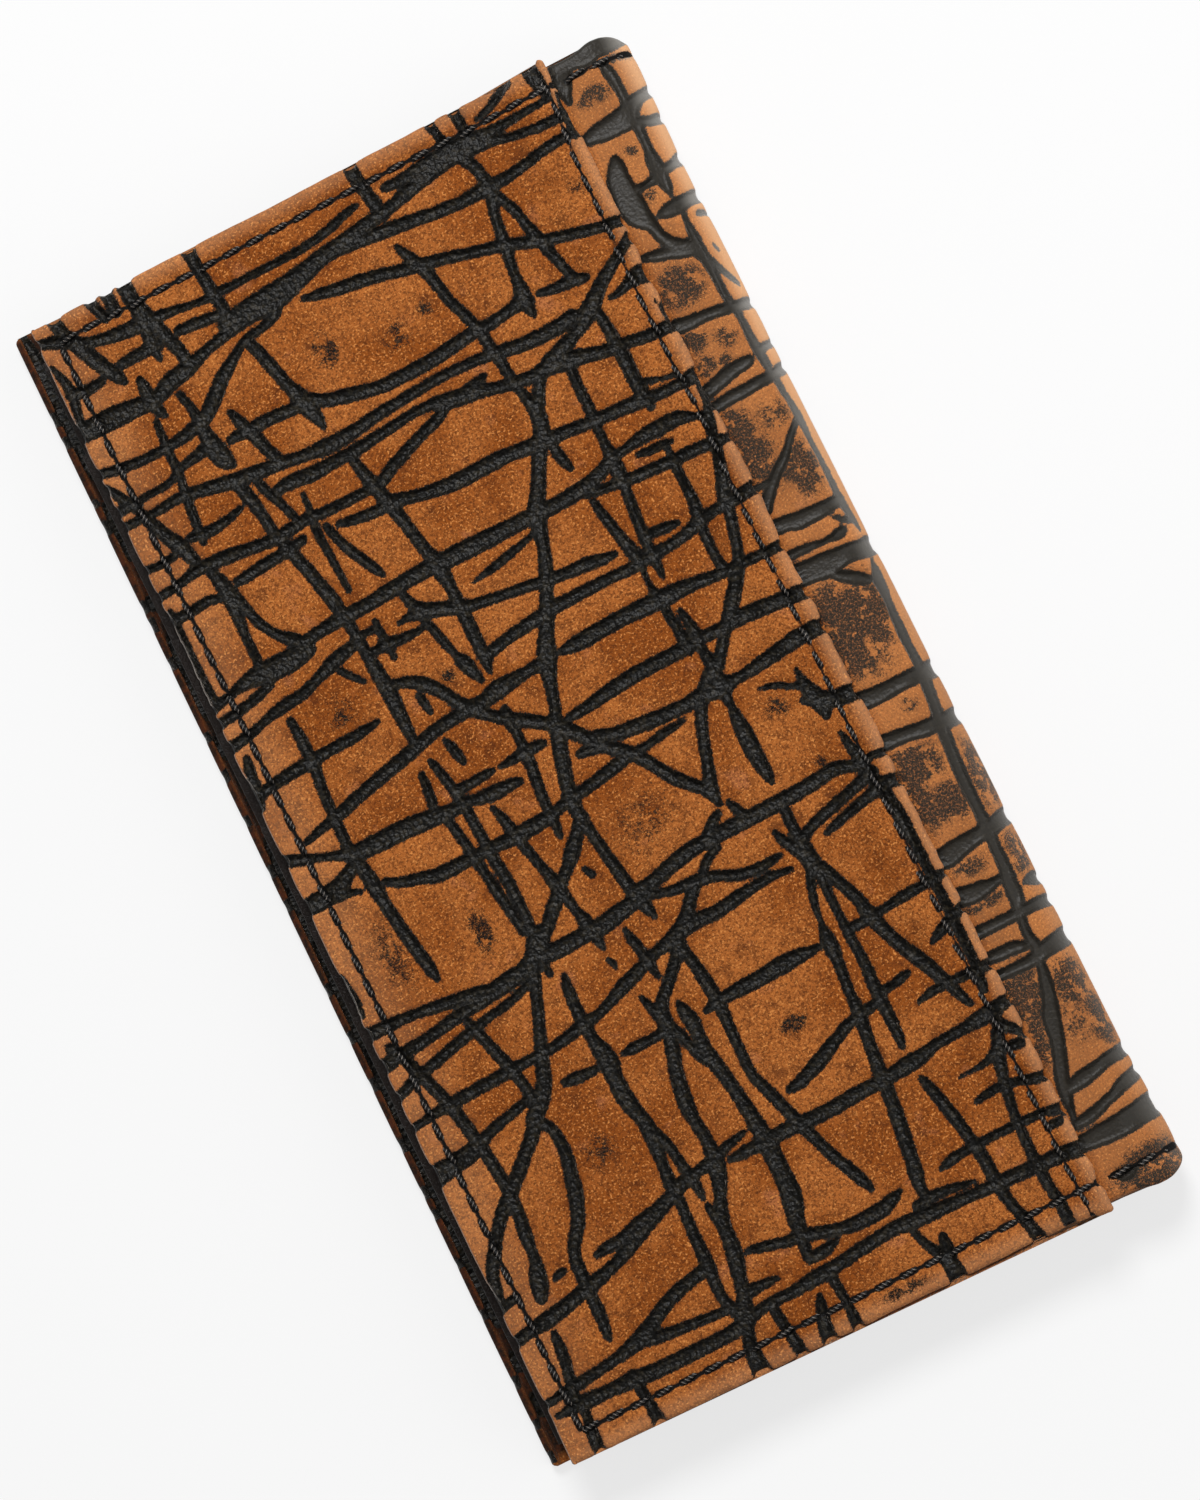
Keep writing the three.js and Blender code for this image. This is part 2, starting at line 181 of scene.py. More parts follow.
# Places where the tan is rubbed through to the ink: x, y, half width, half length, strength
PANEL_WEAR = (
    (-7, 64, 1.8, 2.4, 1.3), (2.5, 61.5, 2.4, 2, 1), (7.6, 63, 1.4, 1.4, 0.9), (-27, 18.5, 2.6, 2.6, 0.8),
    (-11.4, 16.6, 1.2, 1, 1.2), (-22.5, -16.5, 1.6, 3.6, 1.2), (-35, -14, 3, 6, 0.8), (4, -13, 6, 5, 0.62),
    (9.8, -46, 2, 1.2, 1.4), (-21, -50, 2.6, 3.2, 0.8), (33.5, 68, 2, 2, 0.7), (26.5, -7.2, 2, 1.8, 1),
    (28.4, -16.3, 1.2, 1, 1.1), (7.5, -84, 4, 1, 1.1),
)
SPINE_WEAR = (
    (41, 78.8, 3.2, 1.5, 1.2), (42.3, 69.6, 1.2, 1.2, 1), (41.5, 63.4, 1.8, 2, 0.9), (40, 50, 3.8, 3.2, 1.4),
    (38.4, 42.5, 2, 2.2, 1.2), (42.6, 41, 2, 2, 1), (38.3, 38.4, 1.8, 1.8, 1.2), (41, 38, 1.2, 1.2, 1.1),
    (38.4, 28.6, 2.5, 4.2, 1.3), (43.8, 28.6, 3.2, 2.5, 0.9), (39, 23.6, 3.2, 5, 1.2),
    (41.4, 21, 2.5, 1.8, 1.1), (44, 20.5, 2.8, 4.2, 1.5), (39.6, -2, 4.8, 7.5, 1.5),
    (43.4, -0.4, 3.2, 5.8, 1.6), (42.6, -14.5, 1.5, 1.2, 1.1), (39.4, -22.4, 4.2, 3.8, 1.4),
    (38.2, -27, 1.8, 5, 1.3), (41.6, -28.6, 3.2, 3, 1.4), (48, -27, 3.8, 6.2, 1.1), (40, -37.6, 3.2, 1.8, 1),
    (47.6, -39, 3.2, 5, 1), (39.4, -42.6, 4.5, 1.2, 1.2), (39.6, -56, 3.8, 6.2, 1.4), (38.4, -62, 2, 5, 1.2),
    (45.6, -57, 3.8, 3.8, 1.2), (47.4, -63, 3, 5, 1.1), (43.6, -62, 3, 3.8, 0.8), (44.4, -83.4, 6.2, 3, 1.5),
    (46.4, 82.4, 3.8, 1, 1),
)
# On the hem strip the rubbed dots also darken it, as painted shade under the front leaf
STRIP_RUB_AND_SHADE = ((-45, 0, 6, 70, 0.8),)

# The seam along the panel's mouth wanders: y, then x there
MOUTH_SEAM_Y = (-86, -78, -58, -40, -26, -10, 0, 12, 24, 34, 40, 50, 64, 72, 80, 86)
MOUTH_SEAM_X = (34.2, 33.9, 34, 33.85, 33.9, 34.1, 34.3, 34.3, 34.4, 34.8, 34.5, 34.5, 34.8, 35, 35.7, 35.6)


def in_mm(rows):
    # Strokes written point after point as x, y and width, in tenths of a millimetre
    return [np.reshape(row, (-1, 3)) / 10 for row in rows]


# Furrows of the crackle print on the front panel
PANEL_STROKES = in_mm((
    (-394,856,17, -386,827,18, -374,799,20, -360,770,21, -346,744,18, -339,731,9),
    (-337,856,14, -326,824,14),
    (-310,856,17, -309,825,17),
    (-283,856,22, -280,800,19, -283,760,16, -281,737,8),
    (-275,815,16, -266,780,18, -255,745,18, -246,708,16),
    (-425,832,12, -390,820,20, -360,803,14, -320,795,19, -280,792,20, -240,789,13, -205,783,9, -173,782,14,
     -140,782,11, -60,782,11, -25,784,11, 5,789,12, 25,795,12, 45,800,10, 55,800,5),
    (-423,795,6, -415,770,12, -413,750,14, -418,720,12, -421,700,13),
    (-415,750,16, -390,745,15, -368,747,12),
    (-332,755,14, -305,756,17, -275,756,17),
    (-242,760,13, -210,757,16, -176,753,13),
    (-430,694,26, -380,694,30, -345,692,26, -310,690,20, -280,702,24, -250,708,22, -220,717,15, -190,724,15,
     -160,730,20),
    (-319,724,10, -318,705,17, -315,678,17, -308,662,6),
    (-324,660,9, -326,620,11, -327,585,11, -332,545,13, -335,510,12, -337,482,9),
    (-278,680,10, -271,650,13, -270,620,18, -268,595,26, -262,573,26, -254,560,10),
    (-428,632,13, -390,625,14, -340,622,13, -295,626,17, -265,634,20, -243,648,20, -220,669,20, -190,690,14,
     -163,706,10, -135,710,12, -110,720,16),
    (-426,610,8, -416,593,13, -403,570,13),
    (-428,572,14, -385,575,10, -348,577,10, -320,588,10, -290,594,16, -270,596,16),
    (-428,551,12, -380,550,12, -340,552,14, -300,546,18, -265,539,20, -220,534,19, -160,526,16, -130,523,21,
     -100,523,20, -70,526,17, -40,530,16, 20,534,14, 50,536,14, 110,534,14, 143,530,18, 170,525,19,
     200,523,20, 230,524,21, 250,527,20, 258,529,12),
    (-400,563,12, -390,538,16, -380,513,19, -368,490,22, -360,466,16),
    (-350,496,12, -325,492,15, -295,495,12, -270,501,7),
    (-428,484,10, -405,482,11, -383,484,10),
    (-226,625,9, -219,605,16, -210,580,17, -202,556,16, -194,536,16),
    (-242,592,12, -210,592,17, -180,593,17, -140,589,16),
    (-236,530,12, -228,505,13, -215,473,11, -208,450,10),
    (-213,500,14, -190,501,19, -160,498,20, -130,499,17, -90,500,17, -60,503,15, -30,506,14, 0,509,13,
     25,508,15, 45,503,22, 70,498,22, 90,495,20, 120,487,16, 146,482,17, 170,479,18, 195,481,24, 220,477,25,
     245,471,19, 270,465,18, 300,461,16, 330,456,16, 375,454,18),
    (-426,442,12, -395,446,12, -360,452,16, -320,450,19, -280,445,16, -240,442,17, -200,446,16, -160,443,14,
     -105,443,14),
    (-182,856,19, -180,820,16, -176,785,17, -172,755,15, -170,733,13),
    (-263,535,14, -254,510,19, -248,480,15, -243,445,15, -229,397,17, -220,363,18, -212,330,19, -206,290,16,
     -203,260,15, -200,220,19, -197,180,21, -197,145,18, -196,110,12),
    (-185,478,7, -186,455,9, -190,425,11, -188,380,10, -186,332,8),
    (-176,425,10, -166,394,13, -146,352,14, -137,336,10, -134,329,5),
    (-428,404,14, -395,405,14, -365,407,13, -350,402,10),
    (-345,440,14, -338,410,22, -339,380,17, -341,340,12, -341,300,13),
    (-332,405,16, -325,375,14, -315,345,13, -302,324,13, -284,306,18, -270,295,16),
    (-318,412,13, -290,415,16, -255,418,16, -220,422,14, -210,424,8),
    (-270,296,16, -245,300,17, -215,302,19, -175,303,19, -140,306,20, -80,310,22, -40,309,25, 0,309,25,
     80,309,21, 123,308,20, 150,310,21, 175,314,20, 195,321,17, 213,330,16),
    (-428,270,14, -390,279,12, -360,284,22, -330,283,30, -300,283,31, -273,286,24),
    (-426,248,14, -395,252,13, -365,258,13, -340,267,15),
    (-422,415,12, -421,370,12, -421,320,12, -420,280,14),
    (-428,212,17, -395,217,13, -365,225,12, -335,231,17, -305,234,15, -275,244,14, -250,253,20, -225,260,17,
     -208,263,12),
    (-244,238,10, -233,224,9, -221,211,6),
    (-413,190,9, -417,170,15, -421,145,18, -425,120,12),
    (-425,136,14, -385,142,16, -345,146,18, -310,148,16, -253,151,14, -228,154,6),
    (-336,209,10, -334,180,15, -334,140,16, -338,95,14, -341,10,15),
    (-390,50,7, -360,58,12, -325,66,17, -290,76,17, -220,93,19, -160,108,18, -110,113,19, -85,114,19,
     -63,119,25, -40,121,20, -15,123,15, 10,125,18),
    (-428,40,16, -405,32,15, -380,23,10, -355,14,14, -330,7,22, -300,6,25, -260,6,26, -220,3,24, -190,0,19,
     -170,2,14, -150,-2,16, -127,-4,20, -105,-4,16, -90,-5,10),
    (-206,62,9, -208,40,13, -210,20,13),
    (-188,73,8, -182,54,12, -173,0,14, -168,-80,15, -164,-120,16, -163,-165,14, -165,-195,14),
    (-198,270,9, -175,269,10),
    (-195,242,12, -170,242,15, -145,240,13, -116,240,6),
    (-172,278,8, -172,250,12, -170,223,9),
    (-187,190,12, -170,184,15, -153,174,19, -139,160,18, -127,142,17, -116,124,18, -102,107,19, -86,92,15,
     -72,81,17, -54,69,19, -24,49,18, -10,37,22, 5,21,20, 34,-14,18, 50,-28,19, 65,-43,19, 79,-62,17,
     91,-82,17, 104,-100,18, 128,-125,16, 136,-138,16),
    (-430,-30,22, -400,-29,26, -375,-24,24, -355,-13,18, -338,-3,16),
    (-385,-34,16, -363,-38,10, -351,-43,6),
    (-336,-5,16, -331,-45,21, -328,-75,16, -323,-110,17, -312,-173,17, -308,-196,7),
    (-316,-45,8, -295,-56,14, -265,-64,16, -240,-70,20, -170,-69,16, -140,-70,19, -110,-69,21, -85,-67,20,
     -60,-63,15, -38,-57,16, -10,-54,16, 40,-44,18, 60,-37,18),
    (-201,-10,12, -195,-40,13, -184,-120,14, -173,-190,14),
    (-426,-135,6, -423,-170,12, -423,-195,8),
    (-430,-222,19, -395,-222,17, -360,-224,13, -320,-229,16, -260,-238,18),
    (-428,-270,19, -405,-266,18, -370,-263,16, -335,-258,16, -300,-252,17, -265,-247,21, -225,-241,24,
     -195,-236,22, -170,-226,22, -150,-232,23, -100,-230,22, -70,-229,24, -47,-224,23, -23,-220,20),
    (-428,-316,13, -400,-306,14, -375,-299,14, -340,-290,15, -305,-281,15, -270,-273,12, -235,-267,11,
     -200,-256,10),
    (-407,-250,12, -395,-276,16, -373,-337,17, -364,-370,17, -357,-405,17, -351,-443,16, -346,-490,16,
     -348,-534,17, -351,-557,17, -353,-576,13, -354,-591,15, -359,-609,22, -364,-626,24, -369,-640,16,
     -369,-646,7),
    (-296,-265,11, -287,-295,15, -270,-352,15, -261,-400,13),
    (-160,-198,20, -180,-230,22, -194,-266,16, -205,-298,15, -228,-356,18, -239,-384,21, -255,-405,23,
     -270,-420,22, -284,-440,19, -305,-460,18, -344,-497,19, -365,-515,18, -384,-536,17, -402,-562,18,
     -415,-585,16, -421,-610,16, -425,-630,12),
    (-428,-362,9, -395,-357,12, -360,-354,16, -280,-350,16, -240,-348,13, -200,-346,14, -155,-337,17,
     -133,-334,13, -113,-327,13, -90,-317,18, -67,-309,18, -33,-296,15, -13,-291,17, 3,-287,22, 24,-281,22,
     45,-280,20, 73,-281,18, 100,-277,18, 130,-273,14, 157,-271,13, 176,-273,8, 188,-275,5),
    (-430,-433,30, -395,-429,26, -365,-424,23, -345,-416,16, -325,-409,14, -265,-394,12),
    (-214,-396,9, -195,-398,16, -170,-399,11),
    (-269,-426,16, -257,-443,14, -254,-463,15, -254,-483,17, -259,-506,18, -264,-529,20, -271,-551,19,
     -281,-574,18, -294,-591,17, -303,-609,16, -306,-631,17, -307,-694,16, -309,-717,13, -309,-730,6),
    (-428,-632,13, -410,-627,12, -399,-626,10),
    (-340,-625,7, -332,-622,11, -326,-621,8),
    (-430,-680,15, -400,-674,17, -370,-670,22, -340,-664,19, -290,-652,19, -265,-645,16, -240,-635,19,
     -215,-621,23, -190,-610,22, -150,-594,18, -130,-586,19, -105,-581,15, -85,-577,16),
    (-277,-622,8, -260,-619,15, -235,-617,16, -210,-610,19, -185,-604,19),
    (-430,-772,10, -400,-768,12, -375,-765,15, -320,-758,14, -295,-753,18, -273,-747,22, -250,-736,20,
     -220,-720,18, -185,-708,17, -150,-701,17),
    (-280,-750,16, -250,-755,16, -220,-758,14, -160,-762,12, -130,-764,12),
    (-374,-691,9, -375,-710,14, -377,-730,15, -381,-750,14, -388,-790,14),
    (-418,-792,7, -400,-791,13, -377,-790,20, -340,-791,17, -303,-792,21, -260,-794,20, -170,-793,19,
     -140,-789,20, -113,-782,14, -90,-779,15, -60,-779,15, -33,-776,19, -10,-775,20, 13,-772,17, 73,-764,17,
     100,-762,18, 130,-764,21, 190,-766,16, 220,-767,15, 250,-768,18, 340,-770,19, 373,-773,21),
    (-384,-795,12, -383,-810,12, -386,-830,16, -387,-858,16),
    (-302,-786,16, -301,-810,14, -299,-830,14, -297,-858,18),
    (68,856,17, 70,833,19, 74,810,17, 78,790,19),
    (-175,736,30, -140,739,34, -100,741,37, -60,749,28, -20,759,22, 10,764,20, 70,773,19, 100,778,16,
     125,785,19, 185,797,21, 210,800,24, 235,799,22, 260,794,15, 283,787,11, 306,782,12, 330,779,13,
     355,779,14),
    (-10,758,16, 30,756,18, 85,750,19, 130,744,17, 160,740,17, 190,738,17, 220,739,20, 260,740,15,
     286,744,14, 368,754,14),
    (-163,703,14, -155,684,16, -149,662,17, -138,622,17, -132,605,22, -127,587,26, -123,570,20, -120,558,13,
     -119,548,7),
    (-123,592,18, -100,580,18, -70,572,19, -40,565,18, -10,561,18, 50,562,19, 80,565,19, 120,570,18,
     145,570,17, 170,573,15, 195,577,19),
    (70,503,10, 90,507,12, 108,510,8),
    (45,498,14, 24,486,15, -4,477,15, -56,457,16, -78,446,16),
    (-103,500,14, -101,480,14, -96,460,17, -86,420,20, -77,380,17, -69,340,16, -64,320,20, -61,298,23,
     -59,277,16, -59,235,18, -59,190,18, -59,170,17, -60,154,11, -61,145,6),
    (-69,720,6, -50,716,13, -20,710,17, 10,706,18, 40,700,17, 70,692,17, 123,681,16, 180,666,15, 206,659,16,
     249,644,17, 272,636,15, 330,620,15, 375,613,15),
    (79,724,7, 85,710,13, 92,695,17, 100,675,17, 106,650,15, 112,623,14, 127,580,15, 134,540,16, 137,520,15,
     141,483,14, 145,465,13, 151,435,20, 147,410,22, 132,385,20, 120,363,19, 109,342,20, 99,325,22,
     91,310,26, 84,288,21, 79,266,17, 71,243,18, 61,220,18, 41,177,19, 30,157,20, 20,136,26, 12,114,23,
     5,92,17, -1,69,15, -8,49,16, -15,30,20, -28,-15,20, -34,-37,19, -38,-60,20, -37,-90,17, -33,-115,15,
     -21,-190,17, -15,-215,22, -10,-235,16, -6,-251,6),
    (-160,420,7, -140,416,13, -115,413,15, -95,412,16),
    (-75,413,18, -42,405,16, -13,400,19, 16,398,21, 73,399,21, 100,397,19, 145,392,22, 170,391,17,
     230,386,17, 286,382,20, 310,378,15, 340,378,16, 370,379,22),
    (-124,300,10, -120,287,12, -115,273,15, -105,262,19, -88,254,20, -55,241,17, -22,234,14, 30,227,14,
     56,223,16, 95,218,15, 120,217,18, 143,213,15, 162,212,7),
    (-144,261,5, -128,262,11, -110,258,16),
    (-112,250,10, -105,230,12, -100,210,12, -95,193,9),
    (-92,184,12, -87,172,20, -82,156,16, -76,140,7),
    (-28,265,4, -10,268,7, 7,271,11, 35,277,11, 60,283,8, 78,288,8),
    (-52,169,17, -22,175,15, 7,179,17, 55,184,18, 130,186,15, 160,185,15, 190,186,17, 245,190,15,
     266,195,17, 285,201,18, 306,203,14, 328,204,17, 374,208,18),
    (36,127,8, 50,126,16, 70,127,22, 130,130,22, 190,129,25, 220,129,21, 245,127,17, 290,123,14,
     372,121,14),
    (-64,93,8, -66,75,18, -65,55,13, -66,15,15, -71,-35,14, -72,-75,13, -73,-97,7),
    (-157,90,6, -153,79,12, -150,65,14, -147,52,8),
    (-163,162,7, -161,152,12, -159,140,10, -158,132,5),
    (-175,21,16, -147,22,13, -128,23,11, -116,24,6),
    (-104,24,7, -85,25,12, -68,26,16, -50,27,15, -38,26,9),
    (7,42,8, 20,42,14, 45,45,16, 90,51,20, 130,54,20, 190,55,19, 220,57,16, 250,57,17, 280,59,21, 310,56,21,
     372,51,20),
    (0,-9,12, 20,-11,16, 35,-15,16),
    (30,3,16, 55,-6,18, 85,-10,20, 120,-13,20, 155,-14,19, 185,-12,22, 212,-14,26, 230,-13,15, 257,-11,16,
     286,-7,19, 343,0,22, 370,-1,20),
    (65,-39,12, 87,-39,11, 110,-35,11, 132,-33,8, 148,-31,4),
    (-139,-20,6, -133,-40,13, -129,-60,15, -124,-84,14, -117,-110,12, -111,-133,14, -107,-153,18,
     -98,-195,12, -93,-215,18, -89,-238,16, -87,-257,6),
    (-88,-273,5, -85,-281,9, -83,-289,4),
    (-36,-88,20, -52,-104,18, -67,-122,21, -82,-138,16, -97,-152,16, -113,-168,19, -144,-199,18,
     -162,-215,22),
    (-170,-240,12, -167,-256,9),
    (-151,-268,8, -154,-285,14, -156,-325,16, -153,-363,17, -150,-380,24, -148,-398,27, -150,-420,22,
     -149,-450,23, -144,-473,20, -139,-495,20, -139,-515,22, -142,-540,15, -145,-587,17, -144,-610,14,
     -146,-655,15, -147,-700,18, -149,-723,15, -149,-744,14, -143,-765,16, -136,-780,16),
    (-135,-505,14, -128,-523,15, -123,-542,13, -120,-564,13, -116,-585,16, -114,-603,11, -113,-616,6),
    (-112,-629,9, -109,-643,14, -106,-656,18),
    (-50,-248,6, -47,-265,13, -43,-283,14, -40,-305,13, -37,-324,7),
    (7,-295,20, -7,-315,16, -34,-343,15, -47,-356,17, -55,-373,20, -56,-392,21, -60,-410,20, -72,-450,19,
     -76,-474,20, -79,-497,20, -78,-520,16, -75,-543,16, -76,-566,20, -79,-587,24, -84,-605,20, -92,-624,16,
     -100,-644,18, -105,-663,19, -106,-683,20, -109,-703,22, -119,-744,17, -125,-764,19, -139,-804,17,
     -144,-826,20, -144,-858,26),
    (-70,-339,6, -66,-353,11, -60,-370,15),
    (-52,-390,14, -44,-410,13, -39,-428,12, -33,-445,13, -26,-455,14),
    (-29,-367,6, -26,-382,17, -23,-400,21, -23,-420,16, -23,-443,20, -14,-489,18, -8,-534,19, -4,-580,24,
     -4,-626,24, -4,-649,26, -7,-671,27, -13,-691,23, -16,-710,18, -19,-730,15, -21,-750,13),
    (6,-300,18, 12,-323,15, 16,-345,17, 20,-390,18, 19,-430,14, 18,-477,13, 19,-500,14, 27,-523,15,
     40,-563,16, 46,-583,19, 54,-603,15, 69,-643,15, 87,-682,16, 94,-700,9),
    (-125,-396,7, -107,-395,15, -83,-395,13, -60,-393,15),
    (0,-393,8, 15,-390,13, 36,-388,16, 60,-387,20, 87,-386,21, 125,-383,23, 150,-383,17, 173,-384,9),
    (-15,-210,18, 15,-206,19, 42,-199,20, 73,-192,21, 95,-190,19, 120,-189,21, 210,-187,21, 240,-186,20,
     270,-183,19, 295,-180,18, 315,-185,16, 330,-190,18),
    (-5,-218,14, 10,-224,12, 30,-229,13, 53,-231,16, 73,-233,17, 93,-238,14, 120,-250,15, 150,-254,14,
     170,-252,11, 182,-251,6),
    (78,-227,12, 90,-214,12, 110,-203,12),
    (63,-234,16, 46,-252,17, 33,-268,18, 18,-280,20),
    (-62,-152,8, -57,-162,9),
    (-70,-573,15, -55,-568,13, -40,-564,10, -26,-561,7),
    (-59,-585,7, -43,-585,14, -20,-584,17, 20,-583,19, 90,-584,19, 130,-581,19, 160,-580,18, 190,-578,19,
     215,-575,22, 235,-573,18, 255,-568,14, 283,-566,14, 310,-564,17, 330,-562,22, 372,-556,15),
    (54,-536,9, 70,-534,16, 92,-526,18, 105,-521,19, 125,-511,18, 148,-500,15, 170,-491,14, 215,-483,13),
    (-92,-704,7, -75,-707,12, -35,-716,15, -17,-717,18, 3,-723,17, 30,-730,16, 55,-734,19, 95,-732,20,
     110,-727,17, 127,-721,7),
    (-22,-749,12, -4,-749,16, 10,-746,13, 25,-742,5),
    (-120,-754,16, -100,-753,14, -84,-753,11, -70,-754,5),
    (-94,-783,14, -91,-808,13, -84,-858,16),
    (-30,-798,5, -34,-810,13, -40,-830,17, -44,-858,21),
    (-5,-778,13, -2,-823,12, -2,-858,15),
    (100,805,12, 120,803,16, 150,804,22, 180,806,26, 210,807,27, 240,806,24, 260,806,17, 285,807,13,
     310,807,11, 355,809,8),
    (192,856,13, 195,840,11, 199,825,12),
    (229,856,14, 231,835,14, 232,820,14),
    (310,854,14, 290,844,12, 273,835,9, 252,830,5),
    (348,856,22, 350,838,22, 354,823,15),
    (372,805,12, 369,780,16, 368,755,16, 366,745,10),
    (213,790,18, 222,774,16, 226,756,16, 228,738,19, 224,720,16, 218,699,13, 213,660,16, 207,620,13,
     206,602,16, 204,585,23, 204,570,19, 206,552,6),
    (230,727,14, 238,710,13, 245,695,14, 249,678,13, 258,639,17, 269,599,13, 274,580,14, 283,570,14,
     292,567,9),
    (223,577,7, 240,574,13, 260,572,16, 280,570,15),
    (195,487,18, 220,495,20, 243,504,17, 260,512,19, 276,525,23, 294,540,21, 311,552,18, 330,564,15,
     347,575,13, 363,584,15, 375,588,16),
    (280,526,16, 286,505,14, 289,458,18, 289,410,18, 290,385,18, 293,368,10),
    (309,525,6, 325,527,11, 344,534,16, 360,536,26, 374,534,26),
    (219,475,14, 217,435,14, 217,395,14, 215,375,12, 215,355,12, 215,335,18, 214,315,21, 214,295,18,
     212,275,14, 206,205,15, 206,183,15, 206,167,10, 205,154,5),
    (180,478,16, 168,460,16, 158,442,18),
    (366,495,6, 369,475,9, 370,460,10),
    (150,390,14, 151,373,14, 155,355,14, 159,343,7),
    (165,304,16, 185,298,13, 205,296,14, 220,294,16, 285,290,16, 340,287,16, 368,284,12),
    (218,330,15, 235,333,12, 255,336,16, 275,338,20, 300,338,21, 323,336,18, 340,329,10, 355,324,12),
    (249,318,7, 266,316,11, 283,316,11, 297,314,6),
    (286,312,7, 289,298,7),
    (369,375,12, 368,355,13, 366,335,16, 358,320,18, 352,303,15, 350,288,14, 339,246,16, 331,225,18,
     326,204,18, 323,183,14, 312,142,15, 304,123,18, 291,105,18, 277,86,20, 262,68,18, 246,49,15, 232,30,15,
     220,15,17),
    (287,290,16, 287,270,12, 287,230,14, 285,210,17, 282,190,14, 281,150,12, 283,130,14),
    (295,403,10, 320,396,6, 343,392,7),
    (210,215,15, 225,214,13, 240,213,14, 256,211,7),
    (166,290,8, 169,272,13, 178,228,15, 183,207,18, 187,188,17, 185,172,7, 185,155,7, 186,143,10),
    (188,123,11, 192,85,13, 194,65,16, 193,48,10),
    (206,104,7, 209,85,13, 211,63,16, 210,43,12, 212,22,17, 211,3,20, 211,-15,22, 211,-32,12, 211,-44,10,
     211,-60,16, 211,-82,22, 211,-105,23, 212,-127,20, 214,-145,15, 215,-159,7),
    (210,15,14, 195,3,14, 183,-15,16, 172,-30,16, 158,-66,15, 146,-106,16, 140,-124,19, 138,-140,15,
     139,-154,7),
    (255,-39,4, 275,-44,8, 293,-54,7, 305,-60,9),
    (311,-38,5, 312,-53,10, 314,-68,18, 317,-82,26, 322,-96,24, 320,-112,10),
    (302,-80,10, 320,-88,22, 340,-96,23, 370,-99,23),
    (327,-140,5, 330,-160,12, 336,-196,16, 343,-230,17, 349,-275,18, 350,-300,17, 351,-360,14, 351,-420,14,
     351,-480,14, 350,-505,13, 346,-530,10),
    (108,-183,16, 122,-170,14, 133,-162,8),
    (151,-156,6, 155,-167,12, 162,-180,14),
    (220,-243,14, 235,-236,14, 277,-223,15, 305,-216,14, 328,-210,17, 340,-206,18),
    (251,-252,7, 270,-246,12, 300,-238,13, 328,-232,16, 342,-226,19, 374,-230,17),
    (340,-186,8, 355,-187,10, 370,-189,10),
    (188,-220,6, 194,-235,13, 203,-250,17, 212,-265,22),
    (214,-195,14, 213,-235,15, 213,-255,23, 215,-273,24, 219,-295,18, 217,-313,12, 217,-360,11, 217,-385,13,
     219,-430,14, 217,-457,16, 217,-480,17, 217,-526,14, 216,-543,11, 215,-552,6),
    (210,-285,14, 203,-300,11, 197,-318,10, 193,-336,9, 191,-353,6, 190,-364,10, 189,-378,18, 189,-393,20,
     188,-410,15, 184,-457,13, 183,-480,16, 175,-551,17, 173,-574,20, 171,-597,17, 166,-643,19, 160,-689,18,
     157,-707,20, 154,-725,15, 155,-745,12),
    (223,-290,18, 233,-310,16, 249,-350,16, 253,-373,20, 268,-418,17, 286,-456,19, 303,-494,17, 317,-530,12,
     322,-540,7),
    (218,-379,12, 237,-380,14, 260,-377,13, 275,-376,10, 300,-373,14, 330,-371,13, 370,-368,10),
    (312,-444,6, 327,-437,13, 343,-429,14, 370,-420,14),
    (218,-474,14, 238,-472,11, 253,-469,12, 265,-466,7),
    (260,-508,5, 277,-504,10, 295,-502,12, 370,-503,14),
    (340,-568,16, 346,-583,15, 358,-593,13, 372,-605,12),
    (340,-582,14, 332,-600,17, 323,-622,17, 317,-645,15, 309,-691,13, 306,-735,14, 306,-777,16, 307,-800,14,
     310,-826,16, 310,-858,16),
    (266,-620,3, 285,-620,5, 305,-617,9, 323,-610,13),
    (271,-659,7, 287,-656,11, 310,-654,11, 330,-658,10, 347,-663,13, 372,-667,14),
    (188,-718,4, 205,-714,13, 225,-711,12, 283,-709,11, 330,-709,11, 350,-711,11, 372,-715,16),
    (219,-600,8, 222,-610,13, 232,-650,16, 240,-691,15, 246,-732,17, 248,-777,16, 252,-800,14, 259,-824,15,
     267,-858,16),
    (137,-748,10, 155,-746,15, 180,-746,12, 200,-749,10, 223,-752,4),
    (118,-772,7, 124,-790,10, 138,-820,15, 145,-836,22, 147,-858,24),
    (152,-798,9, 150,-810,15, 150,-825,16),
    (339,-729,8, 352,-729,12, 366,-728,7),
    (338,-612,12, 352,-614,14, 362,-616,8),
))

